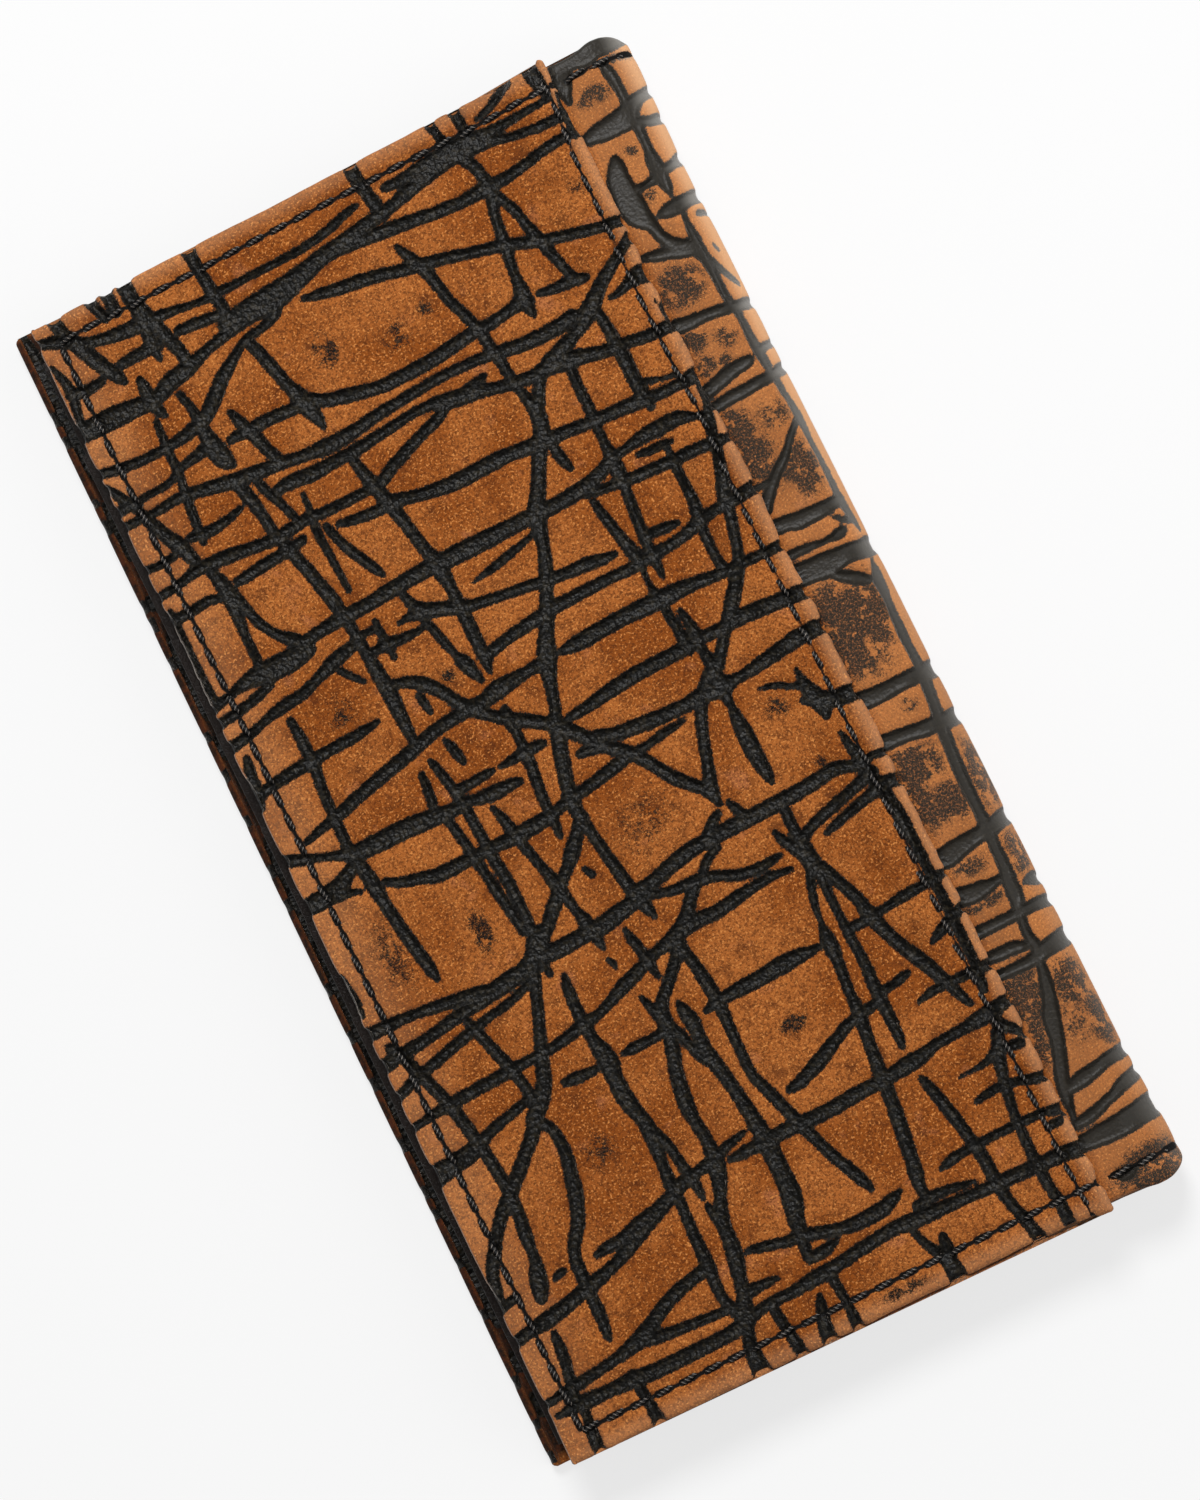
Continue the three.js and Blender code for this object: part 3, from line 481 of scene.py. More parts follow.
# Furrows round the spine, x measured along the bent hide
SPINE_STROKES = in_mm((
    (382,844,25, 402,846,27, 423,843,29, 438,846,28, 462,846,24, 493,849,17, 508,849,14),
    (383,834,26, 379,822,25, 377,810,18, 376,795,9),
    (442,819,14, 444,807,19, 446,792,17, 447,777,15, 447,762,14),
    (377,737,18, 393,738,26, 408,738,30, 423,739,32, 438,741,34, 452,753,25, 475,762,16, 508,770,15),
    (444,734,12, 460,727,14, 475,725,14, 508,728,15),
    (447,729,18, 447,711,15, 446,689,14, 445,674,20, 445,659,24, 445,644,22, 446,632,16, 446,623,9,
     447,615,3),
    (405,645,12, 420,645,10, 438,648,16),
    (454,654,14, 473,658,13, 503,666,18),
    (397,694,14, 394,683,24, 389,668,32, 388,649,36, 389,631,39, 392,613,34, 402,592,18, 406,574,16,
     414,559,18, 426,547,22, 444,536,25, 450,518,18, 451,494,15, 451,470,13, 454,446,14, 458,431,12,
     459,408,13, 460,384,18, 461,366,17, 464,342,12, 468,307,11, 473,272,15, 473,236,10, 474,195,11,
     473,153,13, 475,132,16, 480,112,13, 482,97,5),
    (417,599,6, 424,599,15, 438,600,21, 449,601,23, 466,604,19, 502,609,14),
    (450,590,6, 450,578,9, 449,563,13, 450,542,16),
    (372,556,9, 384,553,14, 396,550,17, 408,547,18, 423,541,19, 441,536,17),
    (471,581,4, 478,582,8, 487,582,5),
    (474,534,4, 476,530,6, 478,525,4),
    (454,524,7, 462,504,9, 472,488,10, 486,473,9),
    (370,452,21, 393,449,19, 413,448,16, 437,445,16, 454,444,16, 469,442,16, 496,444,16),
    (370,353,20, 387,358,19, 402,362,21, 416,365,19, 431,366,18, 441,368,13, 447,368,4),
    (463,375,15, 482,379,10, 498,381,11),
    (372,330,17, 393,332,18, 422,333,17, 450,335,16, 474,339,15, 495,343,16),
    (472,272,8, 457,261,9, 443,248,10, 431,235,11, 419,224,13, 407,215,14, 396,205,15, 384,193,16,
     373,180,17, 370,175,16),
    (393,206,8, 370,206,8),
    (371,147,21, 390,145,21, 400,142,24, 422,141,22, 446,142,19, 476,146,14),
    (445,128,2, 453,123,7, 462,117,9, 474,115,12),
    (371,104,13, 387,104,12, 404,103,10, 421,101,7, 433,101,10, 443,102,14, 451,104,13, 457,105,5),
    (371,75,33, 390,73,32, 407,71,35, 425,72,29, 446,73,26, 473,71,27, 496,73,26),
    (412,55,12, 422,47,15, 434,40,18, 446,33,17, 454,29,12, 458,27,6),
    (476,53,3, 475,46,9, 473,34,17, 470,24,21, 470,7,18, 467,-17,14, 465,-47,17, 465,-76,17, 466,-111,18,
     463,-135,20, 460,-159,20, 456,-182,20, 452,-212,20, 449,-241,20, 447,-276,19, 447,-311,18, 447,-340,20,
     445,-369,18, 444,-398,20, 441,-418,22, 439,-439,23, 434,-452,14, 432,-470,13, 430,-489,13, 433,-510,16,
     428,-532,13, 424,-556,17, 417,-581,20, 408,-605,24, 403,-630,20, 395,-655,19, 386,-679,19, 380,-704,16,
     377,-725,9, 374,-746,3),
    (368,-114,26, 387,-116,25, 407,-116,23, 431,-115,22, 456,-115,23, 472,-115,24, 508,-113,22),
    (366,-177,23, 387,-179,21, 407,-181,20, 425,-184,21, 446,-185,22, 472,-186,23, 508,-184,19),
    (369,-351,27, 381,-351,30, 395,-348,28, 416,-345,24, 436,-343,21, 456,-341,22, 477,-336,23,
     508,-334,21),
    (369,-407,26, 385,-410,26, 402,-410,22, 417,-410,15, 429,-408,11),
    (370,-460,18, 394,-460,17, 416,-460,16, 441,-459,16, 463,-459,16, 499,-460,17),
    (460,-426,6, 475,-426,16, 497,-427,19),
    (370,-497,16, 388,-498,18, 403,-498,18, 416,-501,15, 428,-502,8, 439,-502,2),
    (370,-524,14, 394,-524,16, 416,-524,17, 431,-521,21, 448,-518,23, 472,-515,25, 500,-513,25),
    (390,-697,17, 410,-693,22, 425,-690,20, 441,-687,18, 458,-684,18, 508,-682,17),
    (376,-744,15, 394,-742,16, 410,-738,16, 425,-733,14, 441,-729,15, 458,-722,18, 508,-715,15),
    (371,-770,22, 394,-770,27, 416,-770,30, 434,-769,32, 451,-767,32, 471,-765,33, 508,-764,33),
    (394,-826,7, 401,-831,14, 411,-832,11, 423,-827,4),
))

# Furrows on the hem of the back leaf that shows beyond the front leaf
STRIP_STROKES = in_mm((
    (-466,880,20, -462,840,28, -456,790,26, -454,700,30, -453,660,16),
    (-452,570,30, -452,540,30),
    (-455,400,20, -453,380,28, -454,330,30, -452,290,28),
    (-452,80,26, -454,0,32, -453,-100,34, -452,-300,36, -452,-500,36, -452,-640,30),
    (-454,-760,16, -452,-780,18),
    (-436,780,18, -434,400,16, -434,0,20, -434,-400,22, -435,-780,18),
    (-480,610,26, -440,596,30),
    (-480,465,20, -440,456,24),
    (-480,240,30, -440,230,36),
    (-480,-180,24, -440,-190,30),
    (-480,-410,30, -440,-420,34),
    (-480,-700,26, -440,-710,30),
))

front_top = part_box("front_cover")[1].z / MM
panel_base, panel_crest = (corner.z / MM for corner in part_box("outer_pocket_panel"))
panel_top = panel_base + LEATHER
middle = front_top / 2
leaf_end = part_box("front_cover")[1].y / MM
back_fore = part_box("back_cover")[0].x / MM


def ramp(value, low, high):
    # Smooth step from 0 at low to 1 at high
    t = np.clip((value - low) / (high - low), 0, 1)
    return t * t * (3 - 2 * t)


def smooth(points, step=0.3):
    # Round curve through the points of a stroke, as x, y and width
    padded = np.vstack([2 * points[0] - points[1], points, 2 * points[-1] - points[-2]])
    out = []
    for a, b, c, d in zip(padded, padded[1:], padded[2:], padded[3:]):
        count = max(2, int(math.dist(b[:2], c[:2]) / step))
        t = np.linspace(0, 1, count, endpoint=False)[:, None]
        out.append(b + 0.5 * t * (c - a + t * (2 * a - 5 * b + 4 * c - d + t * (3 * (b - c) + d - a))))
    return np.vstack(out + [points[-1:]])


def furrow_field(strokes, s, y, limit=2.5, margin=2.0, most=4000000):
    # Signed distance to the nearest furrow edge, negative inside a furrow, worked out in parts
    s, y = np.broadcast_arrays(s, y)
    field = np.full(s.size, limit)
    flat_s, flat_y = s.ravel(), y.ravel()
    for stroke in strokes:
        path = smooth(stroke)
        low = path[:, :2].min(0) - limit - margin
        high = path[:, :2].max(0) + limit + margin
        near = np.flatnonzero((flat_s > low[0]) & (flat_s < high[0]) & (flat_y > low[1]) & (flat_y < high[1]))
        for part in np.array_split(near, max(1, len(near) * len(path) // most)):
            gap = np.hypot(flat_s[part, None] - path[:, 0], flat_y[part, None] - path[:, 1]) - path[:, 2] / 2
            field[part] = np.minimum(field[part], gap.min(1))
    return field.reshape(s.shape)


def run_on(strokes, limit, reach):
    # Strokes that end past a limit in x carry on over the edge
    longer = []
    for stroke in strokes:
        points = np.array(stroke if stroke[0, 0] <= stroke[-1, 0] else stroke[::-1])
        if points[-1, 0] > limit:
            step = points[-1] - points[-2]
            extra = points[-1] + step * reach / max(1, math.hypot(step[0], step[1]))
            points[-1, 2] = points[-2:, 2].max()
            extra[2] = points[-1, 2] / 2
            points = np.vstack([points, extra])
        longer.append(points)
    return longer


def crackle(seed, low, high, spacing):
    # Loose seeded net of furrows for the underside
    rng = np.random.default_rng(seed)
    strokes = []
    for across in (0, 1):
        along = 1 - across
        for level in np.arange(low[across] - 2, high[across] + 2, spacing * (0.8 + 0.5 * along)):
            at = low[along] - rng.uniform(0, 25)
            while at < high[along]:
                length = rng.uniform(22, 75)
                count = max(4, int(length / 7))
                t = np.linspace(0, 1, count)
                start, slant = rng.uniform(-3, 3), rng.uniform(-4, 4)
                points = np.zeros((count, 3))
                points[:, along] = at + t * length
                points[:, across] = level + start + slant * t + np.cumsum(rng.normal(0, 0.7, count))
                swell = np.sin(np.pi * np.clip(t * 0.9 + 0.05, 0, 1)) ** 0.4
                points[:, 2] = rng.uniform(1.3, 2.2) * (0.35 + 0.65 * swell)
                strokes.append(points)
                at += length + rng.uniform(3, 14)
    return strokes


def blots(spots, s, y):
    # Rubbed places, each as x, y, half width, half length and strength
    total = np.zeros(np.broadcast(s, y).shape)
    for x, v, wide, tall, strength in spots:
        total = np.maximum(total, strength * np.exp(-((s - x) / wide) ** 2 - ((y - v) / tall) ** 2))
    return total


def waves(seed, *coords, scale=0.1, octaves=3):
    # Gentle seeded unevenness between about -1 and 1
    rng = np.random.default_rng(seed)
    total = 0
    for k in range(octaves * 3):
        slope = sum(c * rng.normal(0, scale * 2 ** (k / 3)) for c in coords)
        total = total + np.sin(slope + rng.uniform(0, 6.3)) / 2 ** (k / 4)
    return total / 3


def stations(low, high, step, roll=0.6):
    # Places from low to high, closer together where an edge rolls over at both ends
    edge = roll * np.array([0, 0.04, 0.16, 0.36, 0.64])
    inner = np.linspace(low + roll, high - roll, max(2, int((high - low - 2 * roll) / step) + 1))
    return np.concatenate([low + edge, inner, (high - edge)[::-1]])


def mesh_object(name, verts, faces, fields, sharp):
    mesh = bpy.data.meshes.new(name)
    mesh.from_pydata((np.asarray(verts) * MM).tolist(), [], faces)
    mesh.validate()
    for key, values in fields.items():
        vector = np.ndim(values) == 2
        layer = mesh.attributes.new(key, "FLOAT_VECTOR" if vector else "FLOAT", "POINT")
        layer.data.foreach_set("vector" if vector else "value", np.asarray(values, np.float32).ravel())
    mesh.shade_smooth()
    mesh.set_sharp_from_angle(angle=math.radians(sharp))
    obj = bpy.data.objects.new(name, mesh)
    bpy.context.collection.objects.link(obj)
    return obj


def tube(name, places, fields, closed=False, sharp=50):
    # Skin round rows of closed sections; the first and last row are capped unless the rows close up.
    # Places are x, y and z. A field is one value, or three, for each place of a section or of them all.
    grid = np.stack(np.broadcast_arrays(*places), -1)
    shape = grid.shape[:2]
    index = np.arange(shape[0] * shape[1]).reshape(shape)
    after = np.roll(index, -1, axis=1)
    if closed:
        low, high = slice(None), np.roll(np.arange(shape[0]), -1)
    else:
        low, high = slice(0, shape[0] - 1), slice(1, shape[0])
    quads = np.stack([index[low], after[low], after[high], index[high]], -1).reshape(-1, 4)
    flat = grid.reshape(-1, 3)
    centre = flat.mean(0)
    a, b, c, d = (flat[quads[:, k]] - centre for k in range(4))
    volume = np.einsum("ij,ij->i", a, np.cross(b, c) + np.cross(c, d)).sum()
    faces = quads.tolist()
    if not closed:
        faces += [index[0][::-1].tolist(), index[-1].tolist()]
    if volume < 0:
        faces = [face[::-1] for face in faces]
    spread = {}
    for key, value in fields.items():
        parts = [np.broadcast_to(v, shape).ravel() for v in (value if isinstance(value, tuple) else (value,))]
        spread[key] = np.stack(parts, -1) if len(parts) > 1 else parts[0]
    return mesh_object(name, flat, faces, spread, sharp)


def outward(x, z):
    # Unit normals of a closed section, away from its inside
    tx = np.roll(x, -1) - np.roll(x, 1)
    tz = np.roll(z, -1) - np.roll(z, 1)
    size = np.hypot(tx, tz) + 1e-9
    turn = np.sign(np.sum(x * np.roll(z, -1) - z * np.roll(x, -1)))
    return turn * tz / size, -turn * tx / size


def bent(flat, arc, up, radius=CREASE_R):
    # Line along the flat, round a crease and up the spine: x, z and length along the hide
    x = np.concatenate([flat, CREASE_X + radius * np.sin(arc), np.full(len(up), CREASE_X + radius)])
    z = np.concatenate([np.full(len(flat), CREASE_R - radius),
                        CREASE_R - radius * np.cos(arc), CREASE_R + up])
    return x, z, np.concatenate([flat, CREASE_X + CREASE_R * arc, CREASE_X + ARC + up])


def between(rows, tail, head):
    # Places from tail to head for rows from -1 to 1
    return rows[:, None] * np.where(rows[:, None] > 0, head, tail)


def rolled(depth, radius):
    # How far a rolled edge falls back at a depth inside the end
    inside = np.clip(radius - depth, 0, radius)
    return radius - np.sqrt(np.clip(radius ** 2 - inside ** 2, 0, None))


def furrow_drop(field):
    # Depth of the furrows, with the plateaus between them slightly pillowed
    return FURROW_DEPTH * (1 - ramp(field, *FURROW_WALL)) + PILLOW * (1 - ramp(field, *PILLOW_REACH))


def ragged_drop(field, seed, s, y):
    # The same with the furrow edges wandering a little
    return furrow_drop(field + RAGGED * waves(seed, s, y, scale=RAGGED_SCALE))


def hem_rise(x):
    return (panel_crest - panel_top) * ramp(x, *HEM_SLOPE)


def mouth_seam_x(y):
    return np.interp(y, MOUTH_SEAM_Y, MOUTH_SEAM_X)


def stitch_rate(length):
    return max(1, round(length / STITCH)) / length


def seam_valley(gap):
    # Pull of the stitching on the leather round it
    return sum(depth * np.exp(-(gap / reach) ** 2) for depth, reach in SEAM_PULL)


def nearest_seam(seams):
    # Distance to the nearest seam, and the count of stitches along it
    gap, beat = seams[0]
    for other_gap, other_beat in seams[1:]:
        beat = np.where(other_gap < gap, other_beat, beat)
        gap = np.minimum(gap, other_gap)
    return gap, beat


def seam_round(x, y, fore, end, limit):
    # Seams at head and tail from the fore-edge to an end, and along the fore-edge
    across = np.abs(np.abs(y) - SEAM_Y) + SEAM_AWAY * ((x < fore - SEAM_SLACK) | (x > limit))
    down = np.abs(x - fore) + SEAM_AWAY * (np.abs(y) > SEAM_Y + SEAM_SLACK)
    return [(across, (x - fore) * stitch_rate(end - fore)), (down, (y + SEAM_Y) * stitch_rate(2 * SEAM_Y))]


def panel_seams(x, y):
    mouth = 1.4 * np.abs(x - mouth_seam_x(y))
    rate = stitch_rate(2 * MOUTH_SEAM_END)
    return nearest_seam(seam_round(x, y, SEAM_X, SEAM_END, math.inf) + [(mouth, (y + MOUTH_SEAM_END) * rate)])


def hide_seams(along, y, fore, flip):
    # Seams on the outer face: across the spine at head and tail, and round the back leaf
    across = np.abs(np.abs(y) - SPINE_SEAM_Y) + SEAM_AWAY * (along < CREASE_X - 4)
    start = SPINE_SEAM_START if flip else BACK_SEAM_END
    beat = (along - start) * stitch_rate(CREASE_X + ARC - start)
    if flip:
        return across, beat
    across = across + SEAM_AWAY * (along < BACK_SEAM_END + 0.4)
    leaf_seam = seam_round(along, y, fore + SEAM_INSET, BACK_SEAM_END, BACK_SEAM_END)
    return nearest_seam([(across, beat)] + leaf_seam)


def build_panel():
    # Outer pocket panel on the front leaf: top face, folded mouth, underside and raw fore-edge
    fold = (panel_crest - panel_base) / 2
    top = np.concatenate([stations(PANEL_EDGE, MOUTH - fold, PANEL_STEP)[4:-5], [MOUTH - fold]])
    bend = np.linspace(0, math.pi, 9)[1:-1]
    under = np.linspace(MOUTH - fold, PANEL_EDGE + 0.2, 8)
    cut_x, cut_z = np.array([0, 0, 0.08, 0.25]), np.array([0.2, 0.75, 1.0, 1.14])
    base_x = np.concatenate([top, MOUTH - fold + fold * np.sin(bend), under, PANEL_EDGE + cut_x])
    base_z = np.concatenate([panel_top + hem_rise(top), panel_base + fold + fold * np.cos(bend),
                             np.full(len(under), panel_base), panel_base + cut_z])
    nx, nz = outward(base_x, base_z)
    folded = slice(len(top), len(top) + len(bend))
    raw = slice(-len(cut_x), None)
    shown = np.ones(len(base_x))
    shown[folded.stop:raw.start] = 0
    s = np.clip(base_x, PANEL_EDGE + 0.1, MOUTH - 0.1)
    s[folded] = MOUTH - 0.1
    rows = stations(-1, 1, PANEL_STEP / leaf_end, 0.7 / leaf_end)
    ear = MOUTH_EAR * ramp(base_x, MOUTH - 3.2, MOUTH - 1.8)
    ends = []
    for side, seed in ((-1, 5), (1, 45)):
        crossed = furrow_field(PANEL_STROKES, s, np.full(len(s), side * NOTCH_Y))
        sag = sum(high * waves(seed + k, base_x, scale=scale) for k, (high, scale) in enumerate(PANEL_SAG))
        ends.append(leaf_end + PANEL_PROUD + ear + sag - NOTCH * (1 - ramp(crossed, -0.5, 0.5)))
    y = between(rows, *ends)
    field = furrow_field(PANEL_STROKES, s, np.clip(y, -PANEL_PRINT_END, PANEL_PRINT_END))
    gap, beat = panel_seams(s, y)
    softened = np.ones(len(base_x))
    softened[len(top) - 3:folded.stop] = 0.7
    lift = (0.07 * waves(6, s, y, scale=0.06) - ragged_drop(field, 7, s, y)) * softened - seam_valley(gap)
    roll = np.where(shown > 0, TOP_ROLL, UNDER_ROLL)
    roll[folded] = MOUTH_ROLL
    roll[raw] = RAW_ROLL
    lift = lift * shown - rolled((1 - np.abs(rows))[:, None] * leaf_end, roll)
    sway = sum(high * waves(seed, y, scale=scale) for seed, high, scale in PANEL_SWAY) - 0.1
    x = base_x + sway * ramp(base_x, 34.5, MOUTH) + nx * lift
    # A painted highlight on the raw top corner of the fore-edge
    edge = np.zeros(len(base_x))
    edge[-2] = 1
    # Paler bands along the mouth's hem, at head and tail and by the fore-edge, partly worn and partly a
    # painted highlight
    rim_tone_and_painted_light = np.maximum(0.4 * ramp(base_x, MOUTH - 2.6, MOUTH - 0.4),
                     0.28 * ramp(np.abs(y), SEAM_Y + 0.5, leaf_end - 0.6))
    rim_tone_and_painted_light = np.maximum(rim_tone_and_painted_light, 0.18 * (1 - ramp(base_x, -41, -32)))
    fields = {"furrow": field, "wear": blots(PANEL_WEAR, s, y), "edge": edge, "rim_tone_and_painted_light": rim_tone_and_painted_light, "seam": gap,
              "beat": beat, "flat": (s, y, base_z)}
    obj = tube("front_pocket_leather", (x, y, base_z + nz * lift), fields)
    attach(obj, "front_leaf")
    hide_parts("outer_pocket_panel")
    return obj


def build_hide(name, fore, flip, strokes, net, strip, spots, strip_rub_and_shade, near, coarse, head_reach):
    # Hide of one leaf with a crease and half of the spine: outer face, turned fore-edge, inner face.
    # The outer face is finely divided from the spine as far as near, and coarsely from there on.
    fold = TURNED / 2
    up = np.linspace(middle - CREASE_R, 0, 3)[:-1][::-1]
    flat = np.concatenate([np.arange(CREASE_X, near, -HIDE_STEP),
                           np.arange(near, fore + fold, -coarse)])[::-1]
    arc = np.linspace(math.pi / 2, 0, int(ARC / HIDE_STEP) + 1)[:-1][::-1]
    out_x, out_z, out_s = (v[::-1] for v in bent(flat, arc, up))
    turn = np.linspace(0, math.pi, 9)
    fold_x = fore + fold - fold * np.sin(turn)
    fold_z = fold - fold * np.cos(turn)
    back = np.concatenate([np.arange(fore + fold + 0.4, fore + 6, 0.4), [fore + HEM, fore + HEM + 0.12],
                           np.arange(fore + HEM + 3, CREASE_X - 1, 4.0), [CREASE_X]])
    arc = np.linspace(0, math.pi / 2, 12)[1:]
    in_x, in_z, in_s = bent(back, arc, up)
    skin_x, skin_z, _ = bent(back, arc, up, CREASE_R - 1.5)
    base_x, base_z = np.concatenate([out_x, fold_x, in_x]), np.concatenate([out_z, fold_z, in_z])
    along = np.concatenate([out_s, fold_x, in_s])
    outer = np.arange(len(base_x)) < len(out_x) + len(fold_x)
    nx, nz = outward(np.concatenate([out_x, fold_x, skin_x]), np.concatenate([out_z, fold_z, skin_z]))
    upright = outer & (base_z > CREASE_R - 0.05)
    nx, nz = np.where(upright, 1, nx), np.where(upright, 0, nz)
    none = np.zeros(outer.sum())
    inset_x = np.concatenate([none, np.zeros(len(back)), np.sin(arc), np.ones(len(up))])
    inset_z = np.concatenate([none, -np.ones(len(back)), -np.cos(arc), np.zeros(len(up))])

    rows = stations(-1, 1, HIDE_ROW / leaf_end, EDGE_ROLL / leaf_end)
    end = leaf_end - HIDE_SHORT * (1 if flip else ramp(along, *HIDE_SHORT_FROM))
    end = end + SPINE_CROWN * ramp(along, *SPINE_CROWN_FROM) - SPINE_TUCK * ramp(along, *SPINE_TUCK_FROM)
    y = between(rows, end, end + head_reach * ramp(-base_x, HEAD_REACH_FROM, -fore))
    thick = np.where((np.abs(y) > leaf_end - HEM) | (along < fore + HEM + 0.05), TURNED, LEATHER)
    kept_y = np.clip(y, -HIDE_PRINT_END, HIDE_PRINT_END)
    fading = NET_FADE * ramp(along, *BEND_OUT)
    printed = np.minimum(furrow_field(strokes, along, kept_y), furrow_field(net, along, kept_y) + fading)
    field = np.where(outer, printed, furrow_field(strip, base_x, y))
    deepen = np.where(outer, 1 - 0.5 * ramp(along, *SHALLOW_PRINT), STRIP_DEPTH)
    lift = 0.05 * waves(9, along, y, scale=0.06) - deepen * ragged_drop(field, 10, along, y)
    gap, beat = hide_seams(along, y, fore, flip)
    gap = np.where(outer, gap, FAR)
    flare = SPINE_FLARE * ramp(np.abs(y), *SPINE_FLARE_Y) * ramp(along, *BEND_OUT) * outer
    folding = 1 - 0.85 * (1 - ramp(base_x - fore, *FORE_FOLD)) * outer
    shallow = 1 - 0.7 * ramp(along, 47, 50) * outer
    ends = rolled((1 - np.abs(rows))[:, None] * leaf_end, EDGE_ROLL)
    lift = lift * folding + flare - seam_valley(gap) * shallow - ends
    x = base_x - inset_x * thick + nx * lift
    z = base_z - inset_z * thick + nz * lift
    # Painted shade: the hem strip by the fore-edge, which lies in the shade of the front leaf, and the inner
    # face are darkened, save at the tips
    inside = np.where(outer, 1 - ramp(base_x, fore + 1.0, fore + 1.6), 1)
    unshaded_tips = np.where(y > 0, ramp(y, 87.5, 88.6), ramp(-y, 83.8, 85.6))
    # On the spine the rim gets a painted highlight, stronger towards the head, and the tan and ink go paler
    # and greyer, partly from rubbing and partly as painted gloss
    fields = {"furrow": field, "seam": gap, "beat": beat,
              "wear": np.where(outer, blots(spots, along, y), blots(strip_rub_and_shade, base_x, y)),
              "rim_tone_and_painted_light": (0.35 + 0.95 * ramp(y, -20, 50)) * ramp(along, *SPINE_HIGHLIGHT) * outer,
              "flesh": np.where(outer | (base_x < fore + HEM + 0.05), 0, 1),
              "painted_shade": inside * (1 - 0.9 * unshaded_tips),
              "spine_rub_and_gloss": (ramp(along, 36, 38.5) if flip else ramp(along, 45, 50)) * outer,
              "flat": (along, y, np.where(outer, 0, INSIDE))}
    return tube(name, (x, y, front_top - z if flip else z), fields)


def blend_back(obj):
    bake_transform(obj)


def blend_front(obj):
    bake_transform(obj)


def build_hides():
    # The furrows of the spine are mirrored at its middle, so that they carry on over the back half
    round_spine = run_on(SPINE_STROKES, SPINE_RIM, SPINE_RUN)
    spine_middle = CREASE_X + ARC + middle - CREASE_R
    over = [points * (-1, 1, 1) + (2 * spine_middle, 0, 0) for points in round_spine]
    net = crackle(21, (back_fore, -86), (CREASE_X + 5.5, 86), 9.5)
    rubbed = [(along, -y, half, length, strength) for along, y, half, length, strength in SPINE_WEAR]
    back = build_hide("back_leather", back_fore, False, over, net, STRIP_STROKES, rubbed, STRIP_RUB_AND_SHADE,
                      near=CREASE_X, coarse=0.62, head_reach=HEAD_REACH)
    blend_back(back)
    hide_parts("back_cover", "spine_cover")
    front = build_hide("front_leather", PANEL_EDGE, True, round_spine, (), (), SPINE_WEAR, (),
                       near=36, coarse=2.5, head_reach=0)
    blend_front(front)
    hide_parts("front_cover", "spine_cover")
    return back, front


def plate(name, node, body, thick=POCKET, tilt=0.0, notch=0, step=1.6):
    # Thin sheet over a CAD sheet, its edges rounded, with an optional round thumb notch in its mouth
    low, high = (np.array(v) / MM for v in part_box(node))
    width = high[0] - low[0]
    rows = stations(low[1] + PLATE_GAP, high[1] - PLATE_GAP, step, 0.25)
    off = rows - (low[1] + high[1]) / 2
    right = np.full(len(rows), high[0] - PLATE_GAP)
    if notch:
        reach = np.clip((notch * math.sqrt(2)) ** 2 - off ** 2, 0, None)
        right = np.minimum(right, high[0] + notch - np.sqrt(reach) * (np.abs(off) < notch))
    across = stations(0, 1, step / width, 0.3 / width)
    u = np.concatenate([across, across[::-1]])
    face = np.repeat([0.5, -0.5], len(across))
    x = low[0] + PLATE_GAP + (right[:, None] - low[0] - PLATE_GAP) * u
    y = rows[:, None]
    depth = np.minimum(np.minimum(u, 1 - u) * width, np.minimum(rows - rows[0], rows[-1] - rows)[:, None])
    half = thick / 2 - rolled(depth, thick / 2 - 0.03)
    centre = (low[2] + high[2]) / 2 + off[:, None] * math.tan(math.radians(tilt))
    # Darker towards the edges, with painted shade on the part near the fore-edge that lies in the shade of
    # the front leaf
    rim_tone_and_painted_light = np.maximum(1 - ramp(depth, *EDGE_SHADE), 2.2 * (1 - ramp(x, -43.2, -41.5)))
    fields = {"flat": (x, y, face * SIDES_APART), "lip": depth, "rim_tone_and_painted_light": rim_tone_and_painted_light}
    obj = tube(name, (x, y, centre + 2 * face * half), fields)
    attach(obj, body)
    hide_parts(node)
    return obj


def build_frame():
    # Frame round the clear window, swept round its opening
    low, high = (np.array(v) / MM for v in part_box("window_frame"))

    def outline(grow, count=10, cuts=8):
        x0, y0 = low[:2] + PLATE_GAP + grow
        x1, y1 = high[:2] - PLATE_GAP - grow
        r = WINDOW_CORNER
        points = []
        corners = ((x1 - r, y1 - r), (x0 + r, y1 - r), (x0 + r, y0 + r), (x1 - r, y0 + r))
        for quarter, (cx, cy) in enumerate(corners):
            angle = (quarter + np.linspace(0, 1, count)) * math.pi / 2
            points.append(np.stack([cx + r * np.cos(angle), cy + r * np.sin(angle)], -1))
        ring = np.vstack(points)
        share = np.linspace(0, 1, cuts, endpoint=False)[:, None]
        return (ring[:, None] + (np.roll(ring, -1, axis=0) - ring)[:, None] * share).reshape(-1, 2)

    outer, inner = outline(0), outline(WINDOW_BORDER)
    across = stations(0, 1, 0.16, 0.05)
    u = np.concatenate([across, across[::-1]])
    face = np.repeat([1, -1], len(across))
    x, y = np.moveaxis(outer[:, None] + (inner - outer)[:, None] * u[:, None], -1, 0)
    side = np.minimum(u, 1 - u) * WINDOW_BORDER
    groove = 0.08 * np.exp(-((u * WINDOW_BORDER - WINDOW_BORDER + 1.6) / 0.3) ** 2)
    z = (low[2] + high[2]) / 2 + face * (0.27 - rolled(side, 0.24) - groove)
    fields = {"flat": (x, y, face * SIDES_APART), "lip": side, "rim_tone_and_painted_light": 1 - ramp(side, *EDGE_SHADE)}
    obj = tube("window_frame_leather", (x, y, z), fields, closed=True)
    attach(obj, "front_leaf")
    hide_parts("window_frame")
    return obj


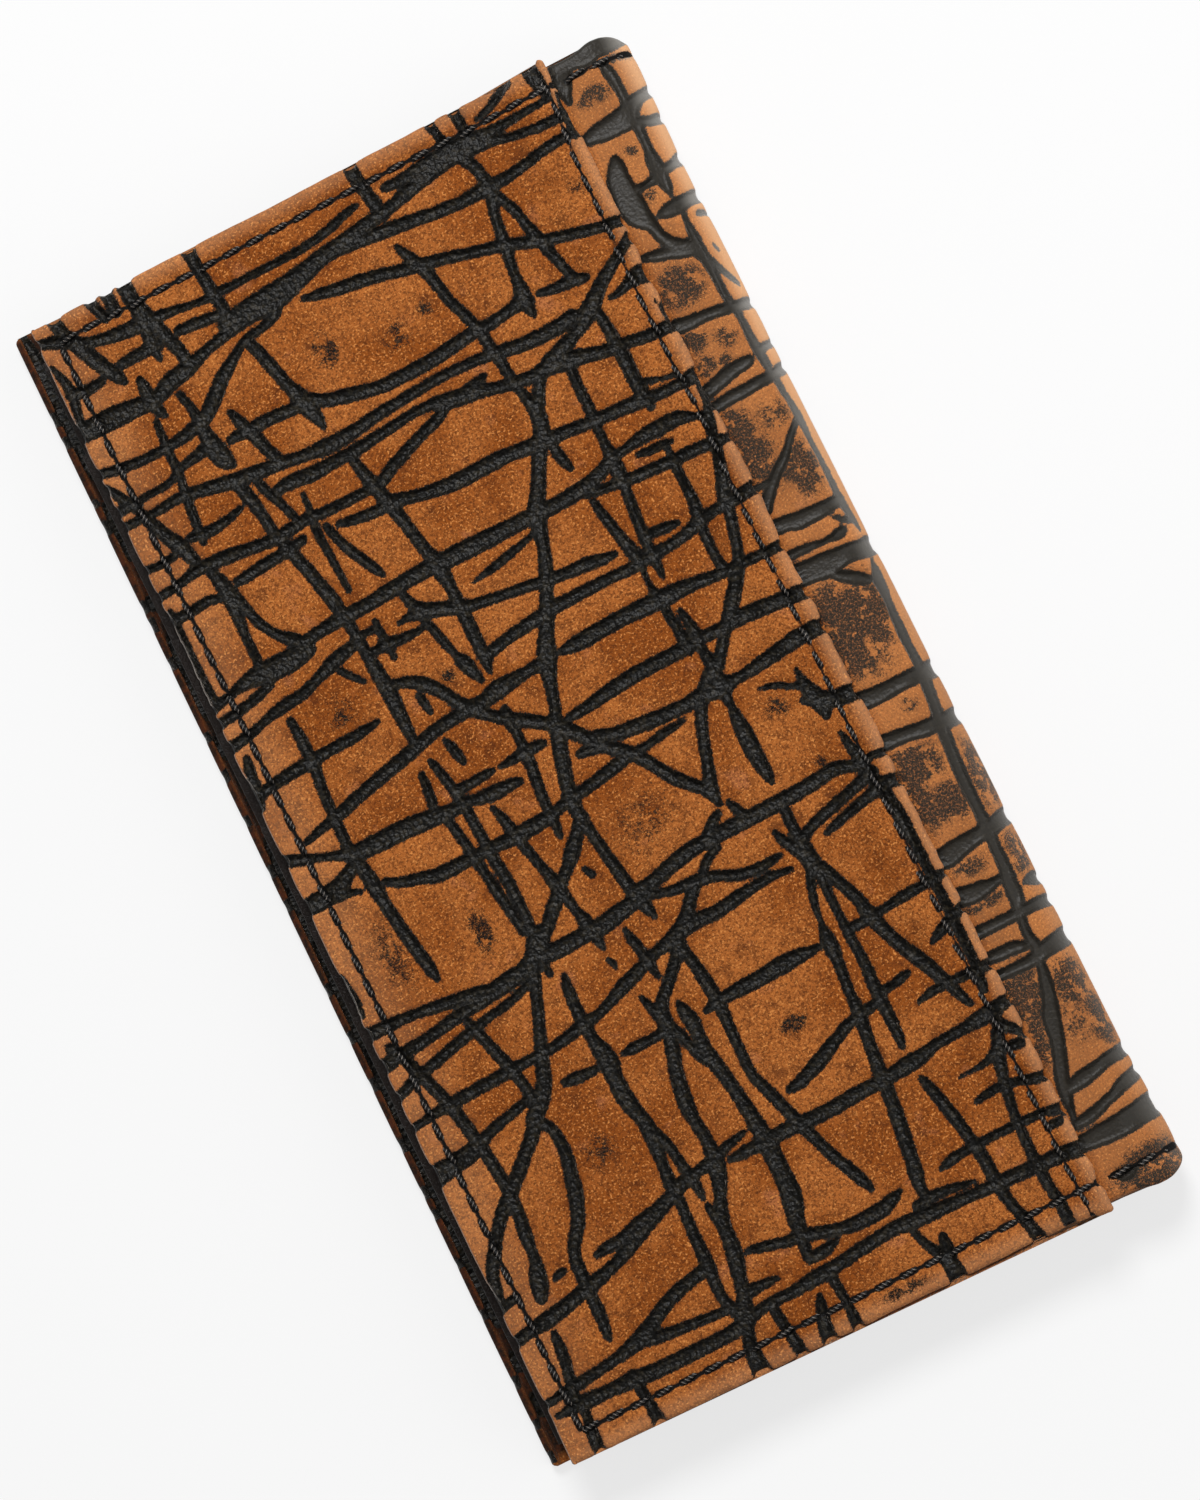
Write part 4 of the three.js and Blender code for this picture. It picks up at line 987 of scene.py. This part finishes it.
def build_lining(name, node, flip):
    # Lining cloth of one leaf, running on round the crease to the middle of the spine
    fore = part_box(node)[0].x / MM
    flat = np.concatenate([stations(fore + 0.05, LINING_BEND, 2.2, 0.3)[:-5],
                           np.linspace(LINING_BEND, CREASE_X, 10)])
    arc = np.linspace(0, math.pi / 2, 10)[1:]
    face_x, face_z, _ = bent(flat, arc, np.array([middle - CREASE_R]), LINING_R)
    face_z[:len(flat)] = LINING_Z + (CREASE_R - LINING_R - LINING_Z) * ramp(flat, 39, CREASE_X)
    tx, tz = np.gradient(face_x), np.gradient(face_z)
    size = np.hypot(tx, tz)
    along = np.concatenate([[0], np.cumsum(np.hypot(np.diff(face_x), np.diff(face_z)))])
    x = np.concatenate([face_x, (face_x - tz / size * LINING)[::-1]])
    z = np.concatenate([face_z, (face_z + tx / size * LINING)[::-1]])
    end = LINING_END - LINING_TAPER * ramp(face_x, 39.0, 41.0)
    y = stations(-1, 1, 2.2 / leaf_end, 0.3 / leaf_end)[:, None] * np.concatenate([end, end[::-1]])
    fields = {"flat": (np.concatenate([along, along[::-1]]), y, 0)}
    obj = tube(name, (x, y, front_top - z if flip else z), fields)
    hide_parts(node, "spine_lining")
    (blend_front if flip else blend_back)(obj)
    return obj


def build_stitches(name, paths, seed):
    # Row of stitches along paths of place and normal; each is two twisted plies that dive into their holes
    rng = np.random.default_rng(seed)
    around = np.linspace(0, 2 * math.pi, 9)[:-1]
    t = np.linspace(0, 1, 25)
    index = np.arange(len(t) * len(around)).reshape(len(t), len(around))
    after = np.roll(index, -1, axis=1)
    sides = np.stack([index[:-1], after[:-1], after[1:], index[1:]], -1).reshape(-1, 4)
    verts, faces, flats, strands = [], [], [], []
    for path in paths:
        reach = np.concatenate([[0], np.cumsum(np.linalg.norm(np.diff(path[:, :3], axis=0), axis=1))])
        count = max(1, int(round(reach[-1] / STITCH)))
        for k in range(count):
            here = (k + SHOWN_STITCH * t) * (reach[-1] / count)
            spot = np.stack([np.interp(here, reach, path[:, i]) for i in range(6)], -1)
            normal = spot[:, 3:] / np.linalg.norm(spot[:, 3:], axis=1)[:, None]
            line = np.gradient(spot[:, :3], axis=0)
            line /= np.linalg.norm(line, axis=1)[:, None]
            cross = np.cross(normal, line)
            rise = THREAD * 0.75 - STITCH_BITE * np.abs(2 * t - 1) ** 5
            lean = rng.normal(0, 0.05) + STITCH_LEAN * (t - 0.5)
            core = spot[:, :3] + normal * rise[:, None] + cross * lean[:, None]
            belly = 0.55 + 0.45 * np.sin(math.pi * np.clip(t, 0.02, 0.98)) ** 0.5
            size = THREAD * belly * rng.uniform(0.92, 1.06)
            twist = PLY_TURNS * 2 * math.pi * t + rng.uniform(0, 6)
            wave = np.cos(2 * (around - twist[:, None]))
            ply = size[:, None] * (1 + PLY_DEPTH * wave)
            ring = core[:, None] + ply[..., None] * (np.cos(around)[:, None] * cross[:, None]
                                                     + 0.85 * np.sin(around)[:, None] * normal[:, None])
            base = len(verts) * index.size
            faces += (sides + base).tolist() + [(index[0][::-1] + base).tolist(), (index[-1] + base).tolist()]
            verts.append(ring.reshape(-1, 3))
            flat = np.broadcast_arrays(here[:, None], around / 6.3, 3.0 * k)
            flats.append(np.stack(flat, -1).reshape(-1, 3))
            strands.append(wave.ravel())
    fields = {"flat": np.vstack(flats), "strand": np.concatenate(strands)}
    return mesh_object(name, np.vstack(verts), faces, fields, sharp=80)


def path3(x, y, z, normal):
    return np.column_stack(np.broadcast_arrays(x, y, z, *map(float, normal)))


def arc_path(y, flip):
    # Stitch line across the spine at one level y, following the outer face of the crease
    angle = np.linspace(0, 1, 14) * math.pi / 2
    lead = np.linspace(SPINE_SEAM_START if flip else BACK_SEAM_END, CREASE_X, 6)[:-1]
    x, z, _ = bent(lead, angle, np.zeros(0), CREASE_R - THREAD_SUNK)
    nx = np.concatenate([np.zeros(len(lead)), np.sin(angle)])
    nz = np.concatenate([-np.ones(len(lead)), -np.cos(angle)])
    if flip:
        z, nz = front_top - z, -nz
    return np.column_stack(np.broadcast_arrays(x, y, z, nx, 0.0, nz))


def panel_path(x, y):
    # Stitch line on the panel, dipping softly where it crosses furrows
    x, y = np.broadcast_arrays(x, y)
    drop = furrow_drop(furrow_field(PANEL_STROKES, x, y))
    dip = 0.75 * np.convolve(np.pad(drop, 2, "edge"), np.ones(5) / 5, "valid")
    return path3(x, y, panel_top + hem_rise(x) - THREAD_SUNK - dip, (0, 0, 1))


def build_threads():
    x = np.linspace(SEAM_X, SEAM_END, 150)
    levels = np.linspace(-SEAM_Y, SEAM_Y, 300)
    paths = [panel_path(x, SEAM_Y), panel_path(SEAM_X, levels), panel_path(x, -SEAM_Y)]
    front = build_stitches("front_stitching", paths, seed=31)
    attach(front, "front_leaf")
    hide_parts("outer_seam_thread")
    levels = np.linspace(-MOUTH_SEAM_END, MOUTH_SEAM_END, 300)
    mouth = build_stitches("mouth_stitching", [panel_path(mouth_seam_x(levels), levels)], seed=32)
    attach(mouth, "front_leaf")
    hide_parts("mouth_seam_thread")
    upper, lower = ([arc_path(side * SPINE_SEAM_Y, flip) for side in (-1, 1)] for flip in (True, False))
    crown = build_stitches("spine_stitching_front", upper, seed=33)
    blend_front(crown)
    foot = build_stitches("spine_stitching_back", lower, seed=34)
    blend_back(foot)
    fore = back_fore + SEAM_INSET
    x = np.linspace(fore, BACK_SEAM_END, 60)
    levels = np.linspace(-SEAM_Y, SEAM_Y, 60)
    paths = [path3(*place, THREAD_SUNK, (0, 0, -1)) for place in ((x, SEAM_Y), (fore, levels), (x, -SEAM_Y))]
    heel = build_stitches("back_stitching", paths, seed=35)
    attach(heel, "back_leaf")
    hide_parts("back_seam_thread")
    return [front, mouth, crown, foot, heel]


class Paint:
    # A material and short names for the nodes that it is made of
    def __init__(self, name):
        self.material = bpy.data.materials.new(name)
        self.material.use_nodes = True
        self.tree = self.material.node_tree
        self.tree.nodes.clear()
        self.shader = self.node("ShaderNodeBsdfPrincipled")
        out = self.node("ShaderNodeOutputMaterial")
        self.tree.links.new(self.shader.outputs[0], out.inputs[0])

    def node(self, kind, inputs=None, **settings):
        made = self.tree.nodes.new(kind)
        for key, value in settings.items():
            setattr(made, key, value)
        for key, value in (inputs or {}).items():
            self.put(made.inputs[key], value)
        return made

    def put(self, socket, value):
        if isinstance(value, bpy.types.NodeSocket):
            self.tree.links.new(value, socket)
        else:
            socket.default_value = value

    def set(self, **values):
        for key, value in values.items():
            self.put(self.shader.inputs[key.replace("_", " ")], value)

    def attribute(self, name, output="Fac"):
        return self.node("ShaderNodeAttribute", attribute_name=name).outputs[output]

    def noise(self, scale, detail=3.0, rough=0.55, vector=None, stretch=None):
        vector = vector or self.attribute("flat", "Vector")
        if stretch:
            scaled = self.node("ShaderNodeVectorMath", {0: vector, 1: stretch}, operation="MULTIPLY")
            vector = scaled.outputs[0]
        inputs = {"Vector": vector, "Scale": scale, "Detail": detail, "Roughness": rough}
        return self.node("ShaderNodeTexNoise", inputs).outputs[0]

    def math(self, operation, a, b=0.0, c=0.0):
        return self.node("ShaderNodeMath", {0: a, 1: b, 2: c}, operation=operation).outputs[0]

    def times(self, a, b):
        return self.math("MULTIPLY", a, b)

    def scaled(self, a, by, plus):
        return self.math("MULTIPLY_ADD", a, by, plus)

    def span(self, value, low, high, to_low=0.0, to_high=1.0):
        inputs = {"Value": value, "From Min": low, "From Max": high, "To Min": to_low, "To Max": to_high}
        return self.node("ShaderNodeMapRange", inputs, interpolation_type="SMOOTHSTEP").outputs[0]

    def mix(self, factor, a, b):
        return self.node("ShaderNodeMix", {0: factor, 6: a, 7: b}, data_type="RGBA").outputs[2]

    def bump(self, height, distance, strength=1.0, under=None):
        # The distance is a number of millimetres, or a socket that gives metres
        reach = distance * MM if isinstance(distance, float) else distance
        made = self.node("ShaderNodeBump", {"Height": height, "Strength": strength, "Distance": reach})
        if under:
            self.tree.links.new(under, made.inputs["Normal"])
        return made.outputs[0]


def rgb(red, green, blue):
    # Colour as it shows on a screen, 0 to 255, made linear
    channel = [v / 255 for v in (red, green, blue)]
    return tuple(v / 12.92 if v < 0.04045 else ((v + 0.055) / 1.055) ** 2.4 for v in channel) + (1.0,)


def printed_leather():
    # Tan nubuck with dark inked furrows, rubbed patches, edges paler partly from wear and partly as painted
    # highlight, and turned-in hems darkened with painted shade
    tan, pale, deep, spark = rgb(136, 70, 16), rgb(174, 102, 45), rgb(72, 30, 3), rgb(200, 128, 64)
    bloom, spine_rub_and_highlight_tan, worn_and_highlight_tan = rgb(174, 108, 68), rgb(200, 138, 88), rgb(218, 166, 122)
    ink, mottle_and_glint_ink, spine_rub_and_gloss_ink, painted_reflection_grey = rgb(9, 8, 6), rgb(40, 35, 25), rgb(52, 48, 42), rgb(150, 146, 140)
    shade_brown, shade_black = rgb(66, 30, 14), rgb(18, 12, 9)
    thread_shadow_black, raw_edge_highlight, flesh = rgb(9, 8, 7), rgb(150, 142, 134), rgb(58, 38, 26)
    p = Paint("printed_leather")
    furrow, spine_rub_and_gloss, rim_tone_and_painted_light = p.attribute("furrow"), p.attribute("spine_rub_and_gloss"), p.attribute("rim_tone_and_painted_light")

    # Where the ink is: in the furrows with ragged edges, and as dots where the tan is rubbed
    ragged = p.math("ADD", p.scaled(p.noise(1.1, 2), 0.36, -0.18), p.scaled(p.noise(5.0, 3, 0.6), 0.7, -0.35))
    inked = p.span(p.math("ADD", furrow, ragged), 0.2, 0.07)
    margin = p.math("MAXIMUM", p.span(furrow, 0.1, 0.8, 0.75, 1.0), p.math("SUBTRACT", 1.0, spine_rub_and_gloss))
    patch = p.times(p.times(p.attribute("wear"), margin), p.span(p.noise(0.45, 4, 0.7), 0.3, 0.54))
    patch = p.math("MINIMUM", patch, 0.78)
    dots = p.span(p.scaled(patch, 0.27, p.noise(2.9, 6, 0.95)), 0.645, 0.67)

    # Tan between the furrows, from broad clouds to single grains
    tone = p.mix(p.span(p.noise(0.07, 3), 0.38, 0.62, 0.0, 0.8), tan, pale)
    tone = p.mix(p.times(p.span(p.noise(0.3, 4, 0.6), 0.48, 0.28), 0.6), tone, deep)
    tone = p.mix(p.times(p.span(p.noise(0.2, 2), 0.62, 0.76), 0.5), tone, bloom)
    tone = p.mix(p.times(p.span(p.noise(3.0, 3, 0.8), 0.56, 0.4), 0.75), tone, deep)
    tone = p.mix(p.span(p.noise(3.2, 1), 0.55, 0.75), tone, spark)
    # Paler on the spine, partly rubbed and partly a painted highlight; paler still at the rim, which on the
    # spine is a painted highlight and on the panel's edges partly wear and partly a painted highlight
    tone = p.mix(p.times(spine_rub_and_gloss, 0.3), tone, spine_rub_and_highlight_tan)
    tone = p.mix(p.times(rim_tone_and_painted_light, 0.72), tone, worn_and_highlight_tan)
    # Painted shade over the hem strip that lies in the shade of the front leaf
    shade_colour = p.mix(p.span(p.noise(0.4, 4, 0.7), 0.4, 0.56), shade_brown, shade_black)
    shade_amount = p.times(p.attribute("painted_shade"), p.span(p.noise(2.2, 3, 0.7), 0.3, 0.7, 1.0, 0.88))
    tone = p.mix(shade_amount, tone, shade_colour)

    # Ink, mottled with lighter grey that stands in for glints as painted highlight, greyer on the spine
    # partly from rubbing and partly as painted gloss, and with a painted reflection along the spine's rim
    dark = p.mix(p.span(p.noise(1.8, 2, 0.6), 0.45, 0.72), ink, mottle_and_glint_ink)
    dark = p.mix(p.times(spine_rub_and_gloss, 0.6), dark, spine_rub_and_gloss_ink)
    dark = p.mix(p.times(p.times(rim_tone_and_painted_light, spine_rub_and_gloss), 0.5), dark, painted_reflection_grey)
    colour = p.mix(p.math("MAXIMUM", inked, dots), tone, dark)

    # Painted shadow of the thread along the seams, widest along each stitch and narrower at the needle holes;
    # a painted highlight on the raw edge of the panel; the flesh side
    beat = p.math("FRACT", p.attribute("beat"))
    slot = p.math("MAXIMUM", p.span(beat, SHOWN_STITCH - 0.2, SHOWN_STITCH + 0.04), p.span(beat, 0.14, 0.0))
    gap = p.scaled(p.noise(4.0, 2), 0.26, p.math("ADD", p.attribute("seam"), -0.13))
    colour = p.mix(p.span(p.scaled(slot, 0.2, gap), 0.58, 0.42), colour, thread_shadow_black)
    colour = p.mix(p.times(p.attribute("edge"), 0.8), colour, raw_edge_highlight)
    colour = p.mix(p.attribute("flesh"), colour, flesh)

    # Nap on the tan, walls of the furrows, wrinkles in the ink
    nap = p.bump(p.noise(2.7, 1, 0.5), p.scaled(inked, -0.08 * MM, 0.11 * MM))
    wall = p.bump(p.span(p.scaled(ragged, 0.5, furrow), -0.5, 0.3), 0.3, 1.0, nap)
    depth = p.times(inked, p.scaled(spine_rub_and_gloss, -0.75, 1.0))
    wrinkle = p.bump(p.times(p.noise(1.9, 1, 0.35), depth), 0.36, 1.0, wall)
    p.set(Base_Color=colour, Roughness=p.span(inked, 0, 1, 0.92, 0.46), Normal=wrinkle,
          Specular_IOR_Level=0.21, Sheen_Weight=0.2, Sheen_Roughness=0.16, Sheen_Tint=rgb(255, 236, 220))
    return p.material


def pocket_leather():
    # Smooth brown leather with a fine pebble and a line pressed along its edges
    base, light, shade = rgb(100, 55, 26), rgb(120, 70, 35), rgb(22, 13, 8)
    p = Paint("pocket_leather")
    tone = p.mix(p.span(p.noise(0.12, 3), 0.3, 0.7), base, light)
    tone = p.mix(p.times(p.span(p.noise(2.6, 3, 0.65), 0.55, 0.35), 0.5), tone, shade)
    # Darker towards the edges, and painted shade near the fore-edge
    tone = p.mix(p.times(p.attribute("rim_tone_and_painted_light"), 0.45), tone, shade)
    pressed = p.span(p.math("ABSOLUTE", p.math("SUBTRACT", p.attribute("lip"), 1.9)), 0.3, 0.1)
    tone = p.mix(p.times(pressed, 0.6), tone, shade)
    inputs = {"Vector": p.attribute("flat", "Vector"), "Scale": 1.7}
    cells = p.node("ShaderNodeTexVoronoi", inputs, feature="DISTANCE_TO_EDGE").outputs["Distance"]
    grain = p.bump(p.span(cells, 0, 0.14), 0.07, 0.6, p.bump(p.noise(6, 2), 0.03, 0.5))
    p.set(Base_Color=tone, Roughness=p.span(p.noise(0.8, 2), 0.3, 0.7, 0.48, 0.62),
          Normal=p.bump(pressed, -0.25, 1.0, grain), Specular_IOR_Level=0.3)
    return p.material


def lining_cloth():
    # Plain dark weave
    pitch = 0.42
    p = Paint("lining_cloth")
    place = p.node("ShaderNodeSeparateXYZ", {0: p.attribute("flat", "Vector")}).outputs
    weave = p.times(*(p.math("SINE", p.times(place[axis], 2 * math.pi / pitch)) for axis in (0, 1)))
    tone = p.mix(p.span(weave, -0.8, 0.8), rgb(32, 21, 13), rgb(62, 41, 26))
    tone = p.mix(p.times(p.noise(0.2, 3), 0.5), tone, rgb(42, 28, 18))
    p.set(Base_Color=tone, Roughness=0.85, Normal=p.bump(weave, 0.08, 0.8), Sheen_Weight=0.05)
    return p.material


def dark_thread():
    # Black waxed thread with a pale glint on each ply
    p = Paint("dark_thread")
    fibre = p.noise(3.0, 3, 0.6, stretch=(0.6, 8.0, 1.0))
    tone = p.mix(p.span(fibre, 0.3, 0.75), rgb(58, 53, 50), rgb(176, 166, 156))
    tone = p.mix(p.span(p.attribute("strand"), 0.92, 0.5), tone, rgb(9, 8, 8))
    p.set(Base_Color=tone, Roughness=0.5, Normal=p.bump(fibre, 0.06, 0.7), Specular_IOR_Level=0.3)
    return p.material


def fibre_board():
    p = Paint("fibre_board")
    flecks = p.noise(900.0, 4, 0.6, vector=p.node("ShaderNodeTexCoord").outputs["Object"])
    tone = p.mix(p.span(flecks, 0.35, 0.65), rgb(120, 104, 84), rgb(168, 150, 124))
    p.set(Base_Color=tone, Roughness=0.9, Normal=p.bump(flecks, 0.05, 0.5))
    return p.material


def clear_vinyl():
    p = Paint("clear_vinyl")
    haze = p.noise(0.25, 3)
    tone = p.mix(p.span(haze, 0.3, 0.7), rgb(236, 238, 238), rgb(250, 250, 248))
    p.set(Base_Color=tone, Roughness=p.span(haze, 0.3, 0.7, 0.06, 0.16), Transmission_Weight=0.92, IOR=1.2)
    return p.material


def finish(obj, material):
    obj.data.materials.clear()
    obj.data.materials.append(material)


def white_table(p):
    # White for what the camera sees, directly or in a reflection; the rest of the light is left alone
    path = p.node("ShaderNodeLightPath")
    seen = path.outputs["Is Camera Ray"]
    for other in ("Is Glossy Ray", "Is Transmission Ray"):
        seen = p.math("MAXIMUM", seen, path.outputs[other])
    white = p.node("ShaderNodeEmission", {"Color": (1, 1, 1, 1), "Strength": TABLE_WHITE})
    inputs = {0: p.times(seen, FLOOR_GLOW), 1: p.shader.outputs[0], 2: white.outputs[0]}
    choose = p.node("ShaderNodeMixShader", inputs)
    p.tree.links.new(choose.outputs[0], p.tree.nodes["Material Output"].inputs[0])


def placed(name, data):
    obj = bpy.data.objects.new(name, data)
    bpy.context.collection.objects.link(obj)
    return obj


def build_camera():
    camera = placed("camera", bpy.data.cameras.new("camera"))
    camera.data.sensor_fit = "VERTICAL"
    camera.data.sensor_height = CAMERA_SENSOR
    camera.data.lens = CAMERA_LENS
    camera.data.clip_start = 0.01
    look = Vector(CAMERA_LOOK).normalized()
    side = look.cross(Vector(CAMERA_UP)).normalized()
    turn = Matrix((side, side.cross(look), -look)).transposed().to_4x4()
    camera.matrix_world = Matrix.Translation(Vector(CAMERA_PLACE)) @ turn
    bpy.context.scene.camera = camera


def build_floor():
    mesh = bpy.data.meshes.new("floor")
    corners = [(x * FLOOR_HALF, y * FLOOR_HALF, 0) for x, y in ((-1, -1), (1, -1), (1, 1), (-1, 1))]
    mesh.from_pydata(corners, [], [(0, 1, 2, 3)])
    floor = placed("floor", mesh)
    floor.location.z = cad_box[0].z - FLOOR_DROP
    p = Paint("pale_floor")
    p.set(Base_Color=(FLOOR_GREY, FLOOR_GREY, FLOOR_GREY, 1), Roughness=0.9, Specular_IOR_Level=0.0)
    white_table(p)
    mesh.materials.append(p.material)


def build_light():
    for name, lamp in (("key", KEY), ("fill", FILL)):
        data = bpy.data.lights.new(name, "AREA")
        data.shape = "DISK"
        data.size = lamp["size"]
        data.energy = lamp["power"]
        made = placed(name, data)
        made.location = lamp["place"]
        made.rotation_euler = (-Vector(lamp["place"])).to_track_quat("-Z", "Y").to_euler()
    world = bpy.data.worlds.new("studio")
    bpy.context.scene.world = world
    world.use_nodes = True
    tree = world.node_tree
    tree.nodes.clear()
    lit = tree.nodes.new("ShaderNodeBackground")
    lit.inputs["Color"].default_value = (1, 1, 1, 1)
    lit.inputs["Strength"].default_value = WORLD_LIGHT
    tree.links.new(lit.outputs[0], tree.nodes.new("ShaderNodeOutputWorld").inputs[0])
    bpy.context.scene.view_settings.view_transform = "Standard"


build_camera()
build_floor()
build_light()

hide_look = printed_leather()
for hide in (build_panel(),) + build_hides():
    finish(hide, hide_look)

thread_look = dark_thread()
for thread in build_threads():
    finish(thread, thread_look)

cloth_look = lining_cloth()
for lining in (build_lining("back_lining_cloth", "back_lining", False),
               build_lining("front_lining_cloth", "front_lining", True)):
    finish(lining, cloth_look)

pockets = [plate("bill_divider_leather", "bill_divider", "back_leaf", notch=THUMB_NOTCH)]
for number in range(1, CARD_POCKETS + 1):
    node = f"card_pocket_{number}"
    pockets.append(plate(f"{node}_leather", node, "back_leaf", tilt=CARD_TILT))
pockets.append(plate("bill_pocket_leather", "bill_pocket_panel", "front_leaf", notch=THUMB_NOTCH))
pockets.append(plate("slip_pocket_leather", "slip_pocket", "front_leaf", notch=THUMB_NOTCH))
pockets.append(build_frame())
pocket_look = pocket_leather()
for pocket in pockets:
    finish(pocket, pocket_look)

window = plate("clear_window_vinyl", "clear_window", "front_leaf", thick=VINYL)
finish(window, clear_vinyl())

board_look = fibre_board()
for name in ("back_board", "front_board"):
    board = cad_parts[name]
    board.data.materials.clear()
    board.data.materials.append(board_look)
